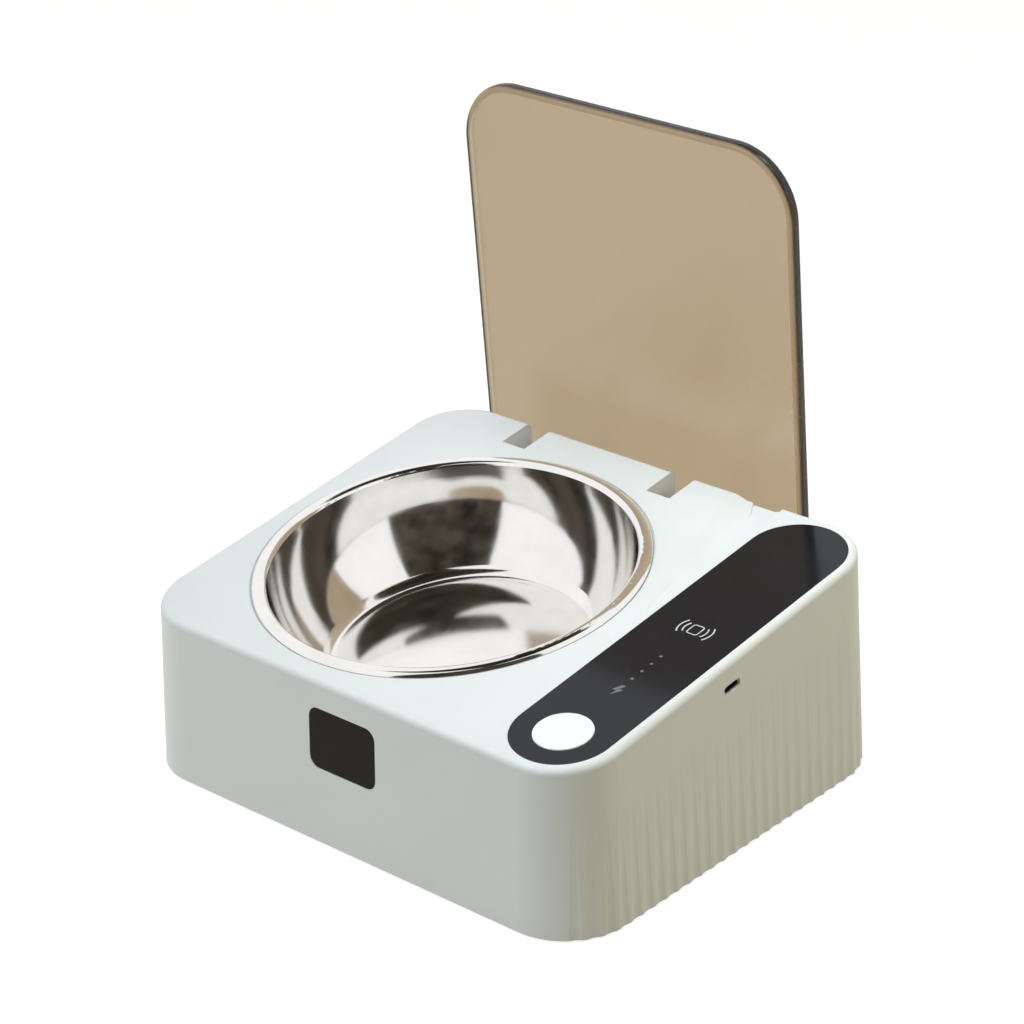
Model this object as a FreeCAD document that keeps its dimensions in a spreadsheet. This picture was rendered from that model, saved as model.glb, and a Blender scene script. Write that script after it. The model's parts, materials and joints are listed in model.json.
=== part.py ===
# Covered pet bowl with a motor-driven lid.
# Millimetres, +Z up. The origin is the middle of the housing's footprint, on the floor.
# The animal eats at the front, -Y. The lid stands open behind the rear edge, as it is in use.
# Names that end in _frame are tilted with the deck, which rises towards the rear.

import FreeCAD
import Part
import Sketcher
import math
import os
import re

Vector = FreeCAD.Vector
X_AXIS = Vector(1, 0, 0)
Z_AXIS = Vector(0, 0, 1)

DRIVING_SIZES = {
    # Housing: a fluted wedge, low at the front
    "housing_width": 240.0,
    "housing_depth": 201.0,
    "corner_radius": 29.0,
    "wall_draft": 2.2,
    "floor_gap": 1.0,
    "deck_front_height": 72.6,
    "deck_slope": 7.5,
    "wall": 2.5,
    "edge_round": 3.0,
    # Flutes in the side walls
    "flute_round": 8.5,
    "flute_lean": 0.55,
    "flute_drop": 22.0,
    "flute_count": 21,
    "corner_flutes": 3,
    # Steel bowl, measured from the deck plane
    "bowl_shift": 0.2,
    "bowl_y": -6.4,
    "bowl_side_margin": 74.2,
    "bowl_end_margin": 35.2,
    "rim_height": 1.8,
    "rim_band": 5.6,
    "rim_curve": 3.2,
    "rim_seat": 0.8,
    "rim_play": 0.5,
    "bowl_depth": 42.0,
    "bowl_floor_inset": 31.1,
    "bowl_knee_inset": 24.2,
    "bowl_knee_height": 3.0,
    "bowl_wall_curve": 67.0,
    "bowl_knee_curve": 9.5,
    "steel": 0.8,
    "bowl_gap": 1.2,
    # Liner that keeps spills out of the housing
    "liner_wall": 1.6,
    "liner_gap": 1.6,
    "liner_flange": 4.5,
    "liner_floor_gap": 1.5,
    # Lid
    "lid_side_cover": 9.7,
    "lid_front_margin": 8.5,
    "lid_start": 1.0,
    "lid_thickness": 5.5,
    "lid_corner": 29.0,
    "lid_foot_corner": 8.0,
    "lid_gap": 3.0,
    "lid_lip": 3.0,
    "lid_recess": 1.5,
    "lid_round": 2.0,
    "lid_lean": 4.0,
    "lid_travel": 93.5,
    # Hinge line and arms
    "hinge_inset": 16.5,
    "hinge_drop": 28.89,
    "arm_inset": 95.5,
    "arm_width": 9.0,
    "arm_hub": 7.5,
    "arm_back": 7.0,
    "arm_front": 2.0,
    "arm_pad_length": 15.0,
    "arm_pad_drop": 0.6,
    "arm_round": 1.5,
    "arm_screw_first": 6.8,
    "arm_screw_second": 12.0,
    "arm_screw_radius": 1.1,
    "arm_screw_head": 2.0,
    "arm_screw_head_height": 0.9,
    "arm_screw_length": 3.6,
    "arm_bend": 2.5,
    "notch_width": 12.5,
    "notch_length": 22.9,
    "notch_wall": 1.8,
    "notch_wall_rise": 10.5,
    "slot_drop": 8.5,
    "shaft_radius": 3.0,
    "shaft_flat": 2.4,
    "shaft_overhang": 3.5,
    "running_gap": 0.05,
    "fit_gap": 0.02,
    "block_length": 10.0,
    "block_inset": 23.5,
    "block_drop": 8.0,
    "block_offset": 14.5,
    "bush_wall": 1.2,
    "bush_flange": 1.0,
    "bush_flange_wall": 2.4,
    # Valley beside the console, which clears the lid's rear corner
    "valley_width": 29.8,
    "valley_left_slope": 8.0,
    "valley_right_slope": 3.8,
    "valley_inset": 2.8,
    "valley_depth": 3.4,
    "valley_fall": 0.5,
    "valley_start": 8.0,
    "valley_tip": 1.2,
    "valley_under": 6.0,
    "pocket_depth": 0.8,
    "pocket_length": 12.5,
    "pocket_rear_width": 15.5,
    "pocket_front_width": 7.0,
    "pocket_inset": 1.0,
    # Console strip
    "console_inset": 28.0,
    "console_half_width": 21.4,
    "console_front_margin": 6.1,
    "console_rear_margin": 7.9,
    "glass_thickness": 1.5,
    "glass_gap": 0.1,
    "button_inset": 26.9,
    "button_radius": 11.9,
    "button_play": 0.3,
    "button_proud": 0.4,
    "button_travel": 1.2,
    "button_flange": 1.2,
    "button_flange_thickness": 1.0,
    "plunger_radius": 1.7,
    "plunger_play": 0.2,
    "plunger_reach": 3.0,
    "switch_size": 6.2,
    "switch_height": 3.4,
    "board_drop": 8.4,
    "board_thickness": 1.6,
    "board_half_width": 16.0,
    "board_front_margin": 13.1,
    "board_rear": 14.0,
    "board_tab_margin": 6.5,
    "board_tab_half": 8.0,
    "board_screw_radius": 1.0,
    "board_screw_head": 1.9,
    "board_screw_head_height": 1.2,
    "board_screw_length": 5.0,
    "peg_radius": 2.4,
    "light_front": -46.0,
    "light_rear": 12.0,
    "light_half_width": 6.0,
    "lamp_radius": 1.5,
    "lamp_height": 2.0,
    # Charging socket in the right wall
    "socket_y": -4.0,
    "socket_width": 8.94,
    "socket_height": 3.2,
    "socket_skin": 0.3,
    "socket_depth": 7.4,
    "socket_set_back": 0.7,
    "socket_play": 0.5,
    "tongue_width": 6.7,
    "tongue_thickness": 0.7,
    "tongue_length": 5.6,
    # Presence sensor behind the dark window in the front wall
    "window_x": -0.3,
    "window_height": 47.6,
    "window_width": 35.2,
    "window_tall": 26.4,
    "window_corner": 5.0,
    "window_thickness": 1.2,
    "window_set_back": 0.3,
    "window_ledge": 2.0,
    "window_play": 0.15,
    "sensor_spacing": 16.0,
    "sensor_radius": 2.5,
    "sensor_dome_gap": 0.6,
    "sensor_board_drop": 7.0,
    "sensor_board_width": 48.0,
    "sensor_board_tall": 20.0,
    "sensor_peg_x": 20.5,
    # Lid drive
    "gear_module": 1.0,
    "sector_teeth": 40,
    "pinion_teeth": 14,
    "sector_inset": 65.0,
    "gear_width": 6.0,
    "pinion_width": 8.0,
    "gear_backlash": 0.12,
    "gear_hub": 6.5,
    "gear_web": 3.0,
    "plate_gap": 3.0,
    "plate_thickness": 2.5,
    "plate_margin": 9.0,
    "plate_relief": 6.0,
    "plate_foot_width": 13.0,
    "gearbox_side": 24.0,
    "gearbox_length": 18.0,
    "gearbox_round": 2.0,
    "output_radius": 2.5,
    "motor_radius": 10.0,
    "motor_length": 24.0,
    "motor_cap_length": 3.0,
    "motor_screw_spacing": 17.0,
    "limit_switch_gap": 0.6,
    # Base plate, its screws and feet
    "base_thickness": 2.5,
    "base_play": 0.15,
    "base_rib_height": 4.0,
    "base_rib": 1.6,
    "boss_radius": 3.8,
    "boss_inset": 3.6,
    "boss_height": 30.0,
    "screw_radius": 1.5,
    "screw_head": 2.8,
    "screw_head_height": 1.6,
    "screw_length": 12.0,
    "foot_radius": 9.0,
    "foot_inset": 30.0,
    "foot_sink": 1.2,
    # Battery
    "cell_radius": 9.2,
    "cell_length": 65.0,
    "cell_x": -25.0,
    "cell_inset": 38.5,
    "cradle_wall": 1.6,
    "cradle_gap": 0.3,
    "contact_thickness": 0.4,
}

# Sizes that follow from the driving sizes
DERIVED_SIZES = {
    "half_width": "housing_width / 2",
    "half_depth": "housing_depth / 2",
    "flute_pitch": "(housing_depth - 2 * corner_radius + 1) / (flute_count - 1)",
    "console_x": "half_width - console_inset",
    "console_front": "half_depth - console_front_margin",
    "console_rear": "half_depth - console_rear_margin",
    "button_y": "button_inset - half_depth",
    "board_front": "half_depth - board_front_margin",
    "board_tab": "half_width - board_tab_margin",
    "bowl_x": "(console_x - console_half_width - half_width) / 2 + bowl_shift",
    "rim_radius": "min(housing_width - bowl_side_margin; housing_depth - bowl_end_margin) / 2",
    "bowl_floor_radius": "rim_radius - bowl_floor_inset",
    "bowl_knee_radius": "rim_radius - bowl_knee_inset",
    "hinge_y": "half_depth - hinge_inset",
    "hinge_height": "deck_front_height + (hinge_y + half_depth) * tan(deck_slope) - hinge_drop",
    "lid_width": "2 * rim_radius + lid_side_cover",
    "arm_spacing": "lid_width - arm_inset",
    "lid_length": "hinge_y + half_depth - lid_front_margin",
    "notch_front": "half_depth - notch_length",
    "notch_wall_foot": "hinge_height + notch_wall_rise",
    "slot_foot": "hinge_height - slot_drop",
    "block_front": "half_depth - block_inset",
    "block_foot": "hinge_height - block_drop",
    "valley_right": "console_x - console_half_width - valley_inset",
    "valley_floor_right": "valley_right - valley_right_slope",
    "valley_left": "valley_right - valley_width",
    "valley_floor_left": "valley_left + valley_left_slope",
    "sector_x": "half_width - sector_inset",
    "plate_x": "sector_x + pinion_width / 2 + plate_gap",
    "cell_y": "cell_inset - half_depth",
    "deck_middle": "deck_front_height + half_depth * tan(deck_slope)",
    "block_height": "housing_depth * tan(deck_slope) + deck_front_height + 20",
    "arm_crank": "(deck_middle + hinge_y * tan(deck_slope) - hinge_height) * cos(deck_slope) + lid_gap",
    "bowl_hole": "rim_radius - rim_band + steel + bowl_gap",
    "gear_reach": "gear_module * (sector_teeth + pinion_teeth) / 2 + running_gap",
    "pinion_y": "hinge_y - gear_reach",
    "boss_diagonal": "(corner_radius - wall - boss_inset) * sqrt(0.5)",
    "boss_x": "half_width - corner_radius + boss_diagonal",
    "boss_y": "half_depth - corner_radius + boss_diagonal",
    "plate_top": "floor_gap + base_thickness",
    "window_y": "(window_height - floor_gap) * tan(wall_draft) - half_depth",
    "socket_drop": "board_drop + board_thickness + socket_height / 2",
    "socket_world_y": "socket_y * cos(deck_slope) + socket_drop * sin(deck_slope)",
    "socket_world_z": "deck_middle + socket_y * sin(deck_slope) - socket_drop * cos(deck_slope)",
    "socket_face": "half_width - (socket_world_z - floor_gap) * tan(wall_draft) - socket_set_back",
    "lid_plane": "arm_crank + lid_recess",
    "left_arm_x": "bowl_x - arm_spacing / 2",
    "right_arm_x": "bowl_x + arm_spacing / 2",
    "flute_stretch": "sqrt(1 + (tan(deck_slope) / cos(wall_draft)) ^ 2)",
    "gearbox_x": "plate_x + plate_thickness",
    "motor_x": "gearbox_x + gearbox_length",
}

# Where the two boards are screwed to their pegs
BOARD_PEGS = [(x, y) for x in ("console_x - board_half_width + peg_radius", "console_x + board_half_width - peg_radius")
              for y in ("peg_radius - board_front", "board_rear - peg_radius")]
SENSOR_PEGS = [("0 - sensor_peg_x", "0"), ("sensor_peg_x", "0")]
POSTS = [(x, y) for x in ("0 - boss_x", "boss_x") for y in ("0 - boss_y", "boss_y")]
PLATE_SCREWS = [("gearbox_x + plate_foot_width / 2 + 1", y) for y in ("pinion_y - 4", "hinge_y - 4")]
GEARBOX_SCREWS = [("pinion_y %s motor_screw_spacing / 2" % side, "hinge_height %s motor_screw_spacing / 2" % rise)
                  for side, rise in (("-", "-"), ("-", "+"), ("+", "-"), ("+", "+"))]
BOWL_PLACE = ("bowl_x", "bowl_y * cos(deck_slope)", "deck_middle + bowl_y * sin(deck_slope)")
CELL_PLACE = ("cell_x", "cell_y", "plate_top + cradle_wall + cradle_gap + cell_radius")
LAMPS = ["0 - 41.6", "0 - 32.7", "0 - 26.8", "0 - 20.9", "0 - 15", "6.4"]
FEET = [("front_left", "-1", "-1"), ("front_right", "1", "-1"), ("rear_left", "-1", "1"), ("rear_right", "1", "1"),
        ("middle", "0", "0")]

doc = FreeCAD.newDocument("CoveredPetBowl")
sizes = doc.addObject("Spreadsheet::Sheet", "Sizes")
for row, (alias, value) in enumerate(DRIVING_SIZES.items(), start=1):
    sizes.set("A%d" % row, alias)
    sizes.set("B%d" % row, str(value))
    sizes.setAlias("B%d" % row, alias)
doc.recompute()


def formula(text):
    """Turn size names into references to the sheet, and derived names into their formulas."""
    def expand(match):
        word = match.group(0)
        if word in DERIVED_SIZES:
            return "(" + formula(DERIVED_SIZES[word]) + ")"
        if word in DRIVING_SIZES:
            return "Sizes." + word
        return word
    return re.sub(r"[a-z][a-z_]*", expand, str(text))


def value_of(text):
    """The number that a formula gives now."""
    return float(sizes.evalExpression(formula(text)))


def bind(thing, prop, text):
    thing.setExpression(prop, formula(text))


def deck_height(y):
    """Formula of the deck plane's height at a world y."""
    return "(deck_front_height + ((%s) + half_depth) * tan(deck_slope))" % y


# Bodies and their placements

def new_body(label, place=("0", "0", "0"), turn="0"):
    """A body whose frame sits at place and is turned about X."""
    body = doc.addObject("PartDesign::Body", label)
    body.Label = label
    start = Vector(*[value_of(part) for part in place])
    body.Placement = FreeCAD.Placement(start, FreeCAD.Rotation(X_AXIS, value_of(turn) or 1e-9))
    for letter, part in zip("xyz", place):
        bind(body, "Placement.Base." + letter, part)
    if turn != "0":
        bind(body, "Placement.Rotation.Angle", turn)
    else:
        body.Placement.Rotation = FreeCAD.Rotation()
    return body


def deck_body(label):
    """A body in the deck's frame: x to the right, y up the slope, z square to the deck."""
    return new_body(label, ("0", "0", "deck_middle"), "deck_slope")


def lid_body(label):
    """A body in the lid's frame: on the hinge line, y out of the lid's top side, z up the lid."""
    return new_body(label, ("0", "hinge_y", "hinge_height"), "lid_lean")


def window_body(label):
    """A body in the front window's frame: y up the wall, z out of the wall."""
    return new_body(label, ("window_x", "window_y", "window_height"), "90 - wall_draft")


# Sketches

def new_sketch(body, name, role, place=("0", "0", "0"), turn="0", axis=X_AXIS):
    """A sketch on an origin plane of the body, shifted and turned in that plane's own frame."""
    plane = [item for item in body.Origin.OriginFeatures if item.Role == role][0]
    sketch = body.newObject("Sketcher::SketchObject", name)
    sketch.AttachmentSupport = [(plane, "")]
    sketch.MapMode = "FlatFace"
    start = Vector(*[value_of(part) for part in place])
    turned = turn != "0"
    rotation = FreeCAD.Rotation(axis, value_of(turn)) if turned else FreeCAD.Rotation()
    sketch.AttachmentOffset = FreeCAD.Placement(start, rotation)
    for letter, part in zip("xyz", place):
        if part != "0":
            bind(sketch, "AttachmentOffset.Base." + letter, part)
    if turned:
        bind(sketch, "AttachmentOffset.Rotation.Angle", turn)
    return sketch


def deck_sketch(body, name, rise="0"):
    """A sketch square to the deck in a body whose frame is the world's, rise above the deck."""
    return new_sketch(body, name, "XY_Plane",
                      ("0", "0 - (%s) * sin(deck_slope)" % rise, "deck_middle + (%s) * cos(deck_slope)" % rise),
                      "deck_slope")


def window_sketch(body, name, rise="0"):
    """A sketch square to the front wall in a body whose frame is the world's, rise outside it."""
    return new_sketch(body, name, "XZ_Plane",
                      ("window_x", "window_height + (%s) * sin(wall_draft)" % rise,
                       "(%s) * cos(wall_draft) - window_y" % rise), "0 - wall_draft")


def hold(sketch, kind, *items):
    """Add one constraint, whose last item is the formula of its size."""
    index = sketch.addConstraint(Sketcher.Constraint(kind, *items[:-1], value_of(items[-1])))
    bind(sketch, "Constraints[%d]" % index, items[-1])


def hold_point(sketch, edge, end, x, y):
    hold(sketch, "DistanceX", -1, 1, edge, end, x)
    hold(sketch, "DistanceY", -1, 1, edge, end, y)


def circle(sketch, x, y, radius):
    centre = Vector(value_of(x), value_of(y), 0)
    edge = sketch.addGeometry(Part.Circle(centre, Z_AXIS, value_of(radius)), False)
    hold_point(sketch, edge, 3, x, y)
    hold(sketch, "Radius", edge, radius)


def outline(sketch, points):
    """A closed outline. A third item in a point makes the edge that leaves it an arc of that
    radius, which bulges to the right of its direction, or to the left if the radius starts with -."""
    spots = [Vector(value_of(point[0]), value_of(point[1]), 0) for point in points]
    edges = []
    for index, point in enumerate(points):
        start, end = spots[index], spots[(index + 1) % len(spots)]
        if len(point) == 2:
            edges.append(sketch.addGeometry(Part.LineSegment(start, end), False))
            continue
        left = point[2].startswith("-")
        radius = value_of(point[2].lstrip("-"))
        chord = end - start
        side = Vector(-chord.y, chord.x, 0).normalize() * (1 if left else -1)
        rise = radius - math.sqrt(radius ** 2 - (chord.Length / 2) ** 2)
        middle = (start + end) * 0.5 + side * rise
        edges.append(sketch.addGeometry(Part.Arc(start, middle, end), False))
    for index, point in enumerate(points):
        edge, following = edges[index], edges[(index + 1) % len(edges)]
        arc, next_arc = len(point) == 3, len(points[(index + 1) % len(points)]) == 3
        last = arc_end(sketch, edge, spots[(index + 1) % len(spots)]) if arc else 2
        first = arc_end(sketch, following, spots[(index + 1) % len(spots)]) if next_arc else 1
        sketch.addConstraint(Sketcher.Constraint("Coincident", edge, last, following, first))
    for index, point in enumerate(points):
        arc = len(point) == 3
        end = arc_end(sketch, edges[index], spots[index]) if arc else 1
        hold_point(sketch, edges[index], end, point[0], point[1])
        if arc:
            hold(sketch, "Radius", edges[index], point[2].lstrip("-"))


def arc_end(sketch, edge, spot):
    """Which end of an arc lies at a spot."""
    near_start = (sketch.getPoint(edge, 1) - spot).Length < (sketch.getPoint(edge, 2) - spot).Length
    return 1 if near_start else 2


def rounded_box(sketch, left, right, low, high, radius):
    """A rectangle with four round corners."""
    x0, x1, y0, y1, r = [value_of(text) for text in (left, right, low, high, radius)]
    lines = [((x0 + r, y0), (x1 - r, y0)), ((x1, y0 + r), (x1, y1 - r)),
             ((x1 - r, y1), (x0 + r, y1)), ((x0, y1 - r), (x0, y0 + r))]
    corners = [(x1 - r, y0 + r, -90), (x1 - r, y1 - r, 0), (x0 + r, y1 - r, 90), (x0 + r, y0 + r, 180)]
    edges = [sketch.addGeometry(Part.LineSegment(Vector(*start, 0), Vector(*end, 0)), False)
             for start, end in lines]
    arcs = []
    for x, y, angle in corners:
        whole = Part.Circle(Vector(x, y, 0), Z_AXIS, r)
        arc = Part.ArcOfCircle(whole, math.radians(angle), math.radians(angle + 90))
        arcs.append(sketch.addGeometry(arc, False))
    for index in range(4):
        sketch.addConstraint(Sketcher.Constraint("Tangent", edges[index], 2, arcs[index], 1))
        sketch.addConstraint(Sketcher.Constraint("Tangent", arcs[index], 2, edges[(index + 1) % 4], 1))
    for arc in arcs[1:]:
        sketch.addConstraint(Sketcher.Constraint("Equal", arcs[0], arc))
    for index, direction in enumerate(("Horizontal", "Vertical", "Horizontal", "Vertical")):
        sketch.addConstraint(Sketcher.Constraint(direction, edges[index]))
    hold(sketch, "Radius", arcs[0], radius)
    hold(sketch, "DistanceY", -1, 1, edges[0], 1, low)
    hold(sketch, "DistanceX", -1, 1, edges[1], 1, right)
    hold(sketch, "DistanceY", -1, 1, edges[2], 1, high)
    hold(sketch, "DistanceX", -1, 1, edges[3], 1, left)


def tombstone(sketch, left, right, low, high, foot_radius, head_radius):
    """A rectangle with one radius at its two low corners and another at its two high ones."""
    outline(sketch, [
        ("%s + %s" % (left, foot_radius), low), ("%s - %s" % (right, foot_radius), low, foot_radius),
        (right, "%s + %s" % (low, foot_radius)), (right, "%s - %s" % (high, head_radius), head_radius),
        ("%s - %s" % (right, head_radius), high), ("%s + %s" % (left, head_radius), high, head_radius),
        (left, "%s - %s" % (high, head_radius)), (left, "%s + %s" % (low, foot_radius), foot_radius)])


def box(sketch, left, right, low, high):
    outline(sketch, [(left, low), (right, low), (right, high), (left, high)])


def capsule(sketch, x, low, high, half):
    """A strip with round ends, from low to high along y."""
    cx, y0, y1, r = [value_of(text) for text in (x, low, high, half)]
    right = sketch.addGeometry(Part.LineSegment(Vector(cx + r, y0 + r, 0), Vector(cx + r, y1 - r, 0)), False)
    left = sketch.addGeometry(Part.LineSegment(Vector(cx - r, y1 - r, 0), Vector(cx - r, y0 + r, 0)), False)
    top = sketch.addGeometry(Part.ArcOfCircle(Part.Circle(Vector(cx, y1 - r, 0), Z_AXIS, r), 0, math.pi), False)
    foot = sketch.addGeometry(
        Part.ArcOfCircle(Part.Circle(Vector(cx, y0 + r, 0), Z_AXIS, r), math.pi, 2 * math.pi), False)
    for first, second in ((right, top), (top, left), (left, foot), (foot, right)):
        sketch.addConstraint(Sketcher.Constraint("Tangent", first, 2, second, 1))
    sketch.addConstraint(Sketcher.Constraint("Vertical", right))
    hold_point(sketch, top, 3, x, "(%s) - (%s)" % (high, half))
    hold(sketch, "DistanceY", -1, 1, foot, 3, "(%s) + (%s)" % (low, half))
    hold(sketch, "Radius", top, half)


def d_outline(sketch, radius, flat):
    """A round shaft's section with one flat, which faces +y."""
    r, h = value_of(radius), value_of(flat)
    angle = math.asin(h / r)
    whole = Part.Circle(Vector(0, 0, 0), Z_AXIS, r)
    arc = sketch.addGeometry(Part.ArcOfCircle(whole, math.pi - angle, 2 * math.pi + angle), False)
    start, end = sketch.getPoint(arc, 1), sketch.getPoint(arc, 2)
    line = sketch.addGeometry(Part.LineSegment(end, start), False)
    sketch.addConstraint(Sketcher.Constraint("Coincident", arc, 2, line, 1))
    sketch.addConstraint(Sketcher.Constraint("Coincident", line, 2, arc, 1))
    hold_point(sketch, arc, 3, "0", "0")
    hold(sketch, "Radius", arc, radius)
    hold(sketch, "DistanceY", -1, 1, line, 1, flat)
    sketch.addConstraint(Sketcher.Constraint("Horizontal", line))


# Features

def pad(sketch, length, back="0", taper="0"):
    """Add material along the sketch's normal, and back the other way if asked."""
    body = sketch.getParentGeoFeatureGroup()
    feature = body.newObject("PartDesign::Pad", sketch.Name + "_pad")
    feature.Profile = sketch
    feature.Length = value_of(length)
    bind(feature, "Length", length)
    if back != "0":
        feature.SideType = "Two sides"
        feature.Length2 = value_of(back)
        bind(feature, "Length2", back)
    if taper != "0":
        feature.TaperAngle = value_of(taper)
        bind(feature, "TaperAngle", taper)
    doc.recompute()
    return feature


def cut(sketch, depth, back="0"):
    """Take material away against the sketch's normal, and along it if back is given."""
    body = sketch.getParentGeoFeatureGroup()
    before = body.Shape.Volume
    feature = body.newObject("PartDesign::Pocket", sketch.Name + "_cut")
    feature.Profile = sketch
    feature.Length = value_of(depth)
    bind(feature, "Length", depth)
    if back != "0":
        feature.SideType = "Two sides"
        feature.Length2 = value_of(back)
        bind(feature, "Length2", back)
    doc.recompute()
    if not feature.Shape.Volume < before - 1e-3:
        raise RuntimeError(feature.Name + " cuts nothing")
    return feature


def spin(sketch):
    """Turn a profile about its sketch's vertical axis."""
    body = sketch.getParentGeoFeatureGroup()
    feature = body.newObject("PartDesign::Revolution", sketch.Name + "_turn")
    feature.Profile = sketch
    feature.ReferenceAxis = (sketch, ["V_Axis"])
    feature.Angle = 360
    doc.recompute()
    return feature


def edges_where(shape, test):
    return ["Edge%d" % index for index, edge in enumerate(shape.Edges, start=1) if test(edge)]


def round_edges(base, radius, test):
    """Fillet the edges of a feature that pass the test."""
    body = base.getParentGeoFeatureGroup()
    feature = body.newObject("PartDesign::Fillet", base.Name + "_round")
    feature.Base = (base, edges_where(base.Shape, test))
    feature.Radius = value_of(radius)
    bind(feature, "Radius", radius)
    doc.recompute()
    return feature


def along(edge, direction):
    """Whether an edge is a straight one along a direction."""
    if len(edge.Vertexes) < 2 or edge.Curve.TypeId != "Part::GeomLine":
        return False
    return abs(edge.tangentAt(edge.FirstParameter).dot(direction)) > 0.9999


def pattern(feature, axis, length, count):
    """Repeat a feature in a row along an axis of a sketch."""
    body = feature.getParentGeoFeatureGroup()
    row = body.newObject("PartDesign::LinearPattern", feature.Name + "_row")
    row.Originals = [feature]
    row.Direction = axis
    row.Length = value_of(length)
    bind(row, "Length", length)
    row.Occurrences = int(value_of(count))
    bind(row, "Occurrences", count)
    body.Tip = row
    doc.recompute()
    return row


def turned_pattern(feature, axis, angle, count):
    """Repeat a feature around an axis of a sketch."""
    body = feature.getParentGeoFeatureGroup()
    ring = body.newObject("PartDesign::PolarPattern", feature.Name + "_ring")
    ring.Originals = [feature]
    ring.Axis = axis
    ring.Angle = abs(value_of(angle))
    ring.Reversed = value_of(angle) < 0
    bind(ring, "Angle", "abs(%s)" % angle)
    ring.Occurrences = int(value_of(count))
    bind(ring, "Occurrences", count)
    body.Tip = ring
    doc.recompute()
    return ring


# Housing

def wedge(body, inset, corner, rounding):
    """A drafted block under the deck plane, set in from the outside by inset."""
    plan = new_sketch(body, body.Name + "_plan", "XY_Plane", ("0", "0", "floor_gap"))
    rounded_box(plan, "%s - half_width" % inset, "half_width - %s" % inset,
                "%s - half_depth" % inset, "half_depth - %s" % inset, corner)
    pad(plan, "block_height", taper="0 - wall_draft")
    side = new_sketch(body, body.Name + "_side", "YZ_Plane", ("0", "0", "0 - half_width"))
    drop = "%s / cos(deck_slope)" % inset
    ends = ("0 - housing_depth", "housing_depth")
    outline(side, [(ends[0], "%s - %s" % (deck_height(ends[0]), drop)),
                   (ends[1], "%s - %s" % (deck_height(ends[1]), drop)),
                   (ends[1], "2 * block_height"), (ends[0], "2 * block_height")])
    deck = cut(side, "1", back="housing_width + 1")
    if rounding == "0":
        return deck
    slope = value_of("deck_slope")
    normal = Vector(0, -math.sin(math.radians(slope)), math.cos(math.radians(slope)))
    level = value_of("deck_middle * cos(deck_slope)")
    return round_edges(deck, rounding,
                       lambda edge: all(abs(point.dot(normal) - level) < 1e-3 for point in edge.discretize(5)))


def make_upper_shell():
    core = new_body("shell_core")
    wedge(core, "wall", "corner_radius - wall", "0")
    body = new_body("upper_shell")
    wedge(body, "0", "corner_radius", "edge_round")
    hollow = body.newObject("PartDesign::Boolean", "shell_hollow")
    hollow.Type = "Cut"
    hollow.addObjects([core])
    body.Tip = hollow
    doc.recompute()
    shell_bosses(body)
    shell_notches(body)
    shell_valley(body)
    shell_deck_openings(body)
    shell_wall_openings(body)
    shell_flutes(body)
    return body


def shell_bosses(body):
    """Screw posts in the four corners, and pegs for the two boards."""
    posts = new_sketch(body, "screw_posts", "XY_Plane", ("0", "0", "plate_top"))
    for x, y in POSTS:
        circle(posts, x, y, "boss_radius")
    pad(posts, "boss_height")
    pilots = new_sketch(body, "screw_pilots", "XY_Plane", ("0", "0", "plate_top - 1"))
    for x, y in POSTS:
        circle(pilots, x, y, "screw_radius + fit_gap")
    cut(pilots, "1", back="screw_length + 1")
    pegs = deck_sketch(body, "board_pegs", "0 - wall / 2")
    for x, y in BOARD_PEGS:
        circle(pegs, x, y, "peg_radius")
    feature = pad(pegs, "board_drop - wall / 2")
    feature.Reversed = True
    doc.recompute()
    pilots = deck_sketch(body, "board_pilots", "board_screw_length - board_drop - board_thickness + 0.5")
    for x, y in BOARD_PEGS:
        circle(pilots, x, y, "board_screw_radius + fit_gap")
    cut(pilots, "board_screw_length + 1")
    stubs = window_sketch(body, "sensor_pegs", "0 - wall / 2")
    for x, y in SENSOR_PEGS:
        circle(stubs, x, y, "peg_radius")
    feature = pad(stubs, "sensor_board_drop - wall / 2")
    feature.Reversed = True
    doc.recompute()
    pilots = window_sketch(body, "sensor_pilots", "board_screw_length - sensor_board_drop - board_thickness + 0.5")
    for x, y in SENSOR_PEGS:
        circle(pilots, x, y, "board_screw_radius + fit_gap")
    cut(pilots, "board_screw_length + 1")


def shell_notches(body):
    """Two walled channels in the rear ledge, with slots down the rear wall, for the lid's arms."""
    rear = "(half_depth - hinge_height * tan(wall_draft) - wall / 2)"
    for side, x in (("left", "left_arm_x"), ("right", "right_arm_x")):
        walls = new_sketch(body, side + "_channel", "YZ_Plane", ("0", "0", x))
        front = "(notch_front - notch_wall)"
        top = "wall / 2"
        outline(walls, [(front, "notch_wall_foot"), ("half_depth - wall", "notch_wall_foot"),
                        ("half_depth - 2 * wall", "%s - %s" % (deck_height("half_depth - 2 * wall"), top)),
                        (front, "%s - %s" % (deck_height(front), top))])
        pad(walls, "notch_width / 2 + notch_wall", back="notch_width / 2 + notch_wall")
    notches = new_sketch(body, "notches", "XY_Plane", ("0", "0", "slot_foot"))
    for x in ("left_arm_x", "right_arm_x"):
        box(notches, "%s - notch_width / 2" % x, "%s + notch_width / 2" % x, "notch_front", "half_depth + wall")
    cut(notches, "0.001", back="block_height")


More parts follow.
